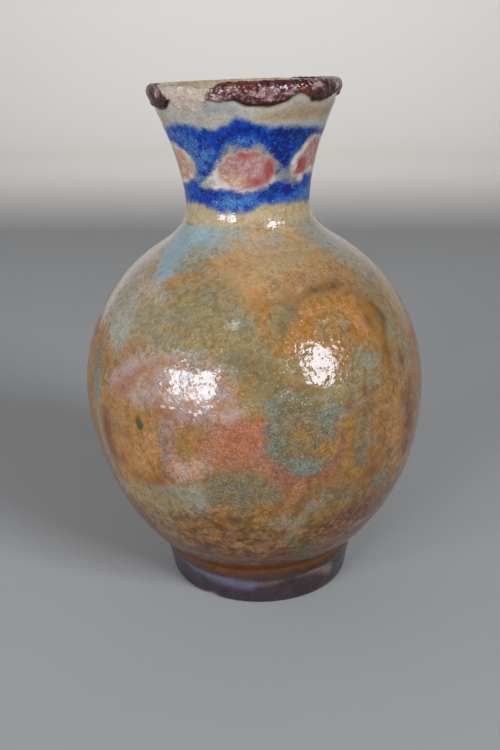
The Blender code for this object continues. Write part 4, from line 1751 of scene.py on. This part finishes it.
@dataclass(frozen=True)
class SoftWindow:
    """Soft rectangular light seen from the pot at a heading and rise, with a size in degrees."""

    name: str
    heading: float
    rise: float
    wide: float
    high: float
    radiance: float
    turn: float = 0.0
    distance: float = 1.5

    def place(self, target: Vector) -> bpy.types.Object:
        """Area light at its distance from the target, facing it, with the power that gives its radiance.

        Args:
            target: point that it faces, in metres.

        Returns:
            The lamp.
        """
        heading, rise = math.radians(self.heading), math.radians(self.rise)
        level = math.cos(rise)
        towards = Vector((math.sin(heading) * level, -math.cos(heading) * level, math.sin(rise)))
        width = 2 * self.distance * math.tan(math.radians(self.wide / 2))
        height = 2 * self.distance * math.tan(math.radians(self.high / 2))
        light = bpy.data.lights.new(self.name, "AREA")
        light.shape = "RECTANGLE"
        light.size = width
        light.size_y = height
        light.energy = self.radiance * math.pi * width * height
        light.color = linear(WINDOW_TONE)[:3]
        lamp = placed(self.name, light)
        lamp.location = target + towards * self.distance
        facing = towards.to_track_quat("Z", "Y").to_matrix()
        lamp.rotation_euler = (facing @ Matrix.Rotation(math.radians(self.turn), 3, "Z")).to_euler()
        return lamp


@dataclass(frozen=True)
class Studio:
    """Plain pale floor that sweeps up into a wall all round, soft windows, and the camera. Metres."""

    floor_rings: tuple[float, ...] = (0.0001, 0.25, 0.7)
    floor_radius: float = 1.7
    sweep: float = 0.8
    sweep_rings: int = 24
    wall_top: float = 2.4
    segments: int = 96
    tone: Tone = (168, 165, 161)
    roughness: float = 0.9
    specular: float = 0.2
    lit_place: tuple[float, float, float] = (0, 0, 0.1)
    windows: tuple[SoftWindow, ...] = (
        SoftWindow("window_left_pane", -51, 9.4, 10, 17.8, 23.8),
        SoftWindow("window_middle_pane", -33, 9.4, 15, 17.8, 23.8),
        SoftWindow("window_right", 46, 23.5, 20, 20, 25.2, turn=40.0),
        SoftWindow("left_fill", -100, 24, 44, 44, 0.75),
    )
    sky_tone: Tone = (236, 240, 246)
    sky_strength: float = 0.18
    wall_power: float = 46.0
    wall_lamp_size: float = 1.2
    wall_lamp_place: tuple[float, float, float] = (0, 1.0, 1.4)
    wall_lamp_aim: tuple[float, float, float] = (0, 2.5, 1.1)
    camera_place: tuple[float, float, float] = (-0.001476, -0.30168, 0.18448)
    camera_pitch: float = 19.72
    focal_pixels: float = 860.0
    frame_pixels: float = 750.0
    sensor: float = 36.0
    clip_start: float = 0.01
    clip_end: float = 20.0

    def backdrop(self) -> bpy.types.Object:
        """Bowl turned about Z: a flat floor, a quarter circle and a wall, on a grid of angle and distance."""
        turn = np.linspace(0, math.pi / 2, self.sweep_rings)
        run, rise = self.floor_radius + self.sweep * np.sin(turn), self.sweep * (1 - np.cos(turn))
        flat = [(radius, 0) for radius in self.floor_rings]
        wall = (self.floor_radius + self.sweep, self.wall_top)
        profile = np.vstack([flat, np.column_stack([run, rise]), wall])
        around = np.linspace(0, 2 * math.pi, self.segments, endpoint=False)
        radius, height = profile[:, 0][:, None], profile[:, 1][:, None]
        grid = np.stack([radius * np.cos(around), radius * np.sin(around), height + 0 * around], axis=-1)
        mesh = bpy.data.meshes.new("studio_floor")
        mesh.from_pydata(grid.reshape(-1, 3), [], ring_quads(len(profile), self.segments).tolist())
        mesh.shade_smooth()
        board = Board("studio_paper")
        board.shader.inputs["Base Color"].default_value = linear(self.tone)
        board.shader.inputs["Roughness"].default_value = self.roughness
        board.shader.inputs["Specular IOR Level"].default_value = self.specular
        mesh.materials.append(board.material)
        floor = placed("studio_floor", mesh)
        return floor

    def light(self) -> None:
        """Windows round the pot, and a pale sky over the open bowl."""
        for window in self.windows:
            window.place(Vector(self.lit_place))
        glow = bpy.data.lights.new("wall_light", "AREA")
        glow.size = self.wall_lamp_size
        glow.energy = self.wall_power
        lamp = placed("wall_light", glow)
        lamp.location = self.wall_lamp_place
        facing = Vector(self.wall_lamp_place) - Vector(self.wall_lamp_aim)
        lamp.rotation_euler = facing.to_track_quat("Z", "Y").to_euler()
        world = bpy.data.worlds.new("studio_sky")
        world.use_nodes = True
        sky = world.node_tree.nodes["Background"]
        sky.inputs["Color"].default_value = linear(self.sky_tone)
        sky.inputs["Strength"].default_value = self.sky_strength
        bpy.context.scene.world = world
        bpy.context.scene.view_settings.view_transform = "Standard"

    def camera(self) -> bpy.types.Object:
        """Camera at the photograph's place, its focal length given in pixels of the frame's height."""
        lens = bpy.data.cameras.new("photo_camera")
        lens.sensor_width = self.sensor
        lens.lens = self.focal_pixels / self.frame_pixels * self.sensor
        lens.clip_start = self.clip_start
        lens.clip_end = self.clip_end
        camera = placed("photo_camera", lens)
        camera.location = self.camera_place
        camera.rotation_euler = (math.radians(90 - self.camera_pitch), 0, 0)
        bpy.context.scene.camera = camera
        return camera


def main() -> None:
    """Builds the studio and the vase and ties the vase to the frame."""
    logging.basicConfig(level=logging.INFO, format="%(name)s: %(message)s")
    low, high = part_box(NODE)
    millimetre = (high.z - low.z) / NOMINAL_CAD_HEIGHT
    studio = Studio()
    studio.camera()
    studio.light()
    studio.backdrop()
    vase = GlazedVase(millimetre).build()
    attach(vase, BODY)
    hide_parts(NODE)
    LOG.info("%s: %d points, %d faces", vase.name, len(vase.data.vertices), len(vase.data.polygons))


if __name__ == "__main__":
    main()
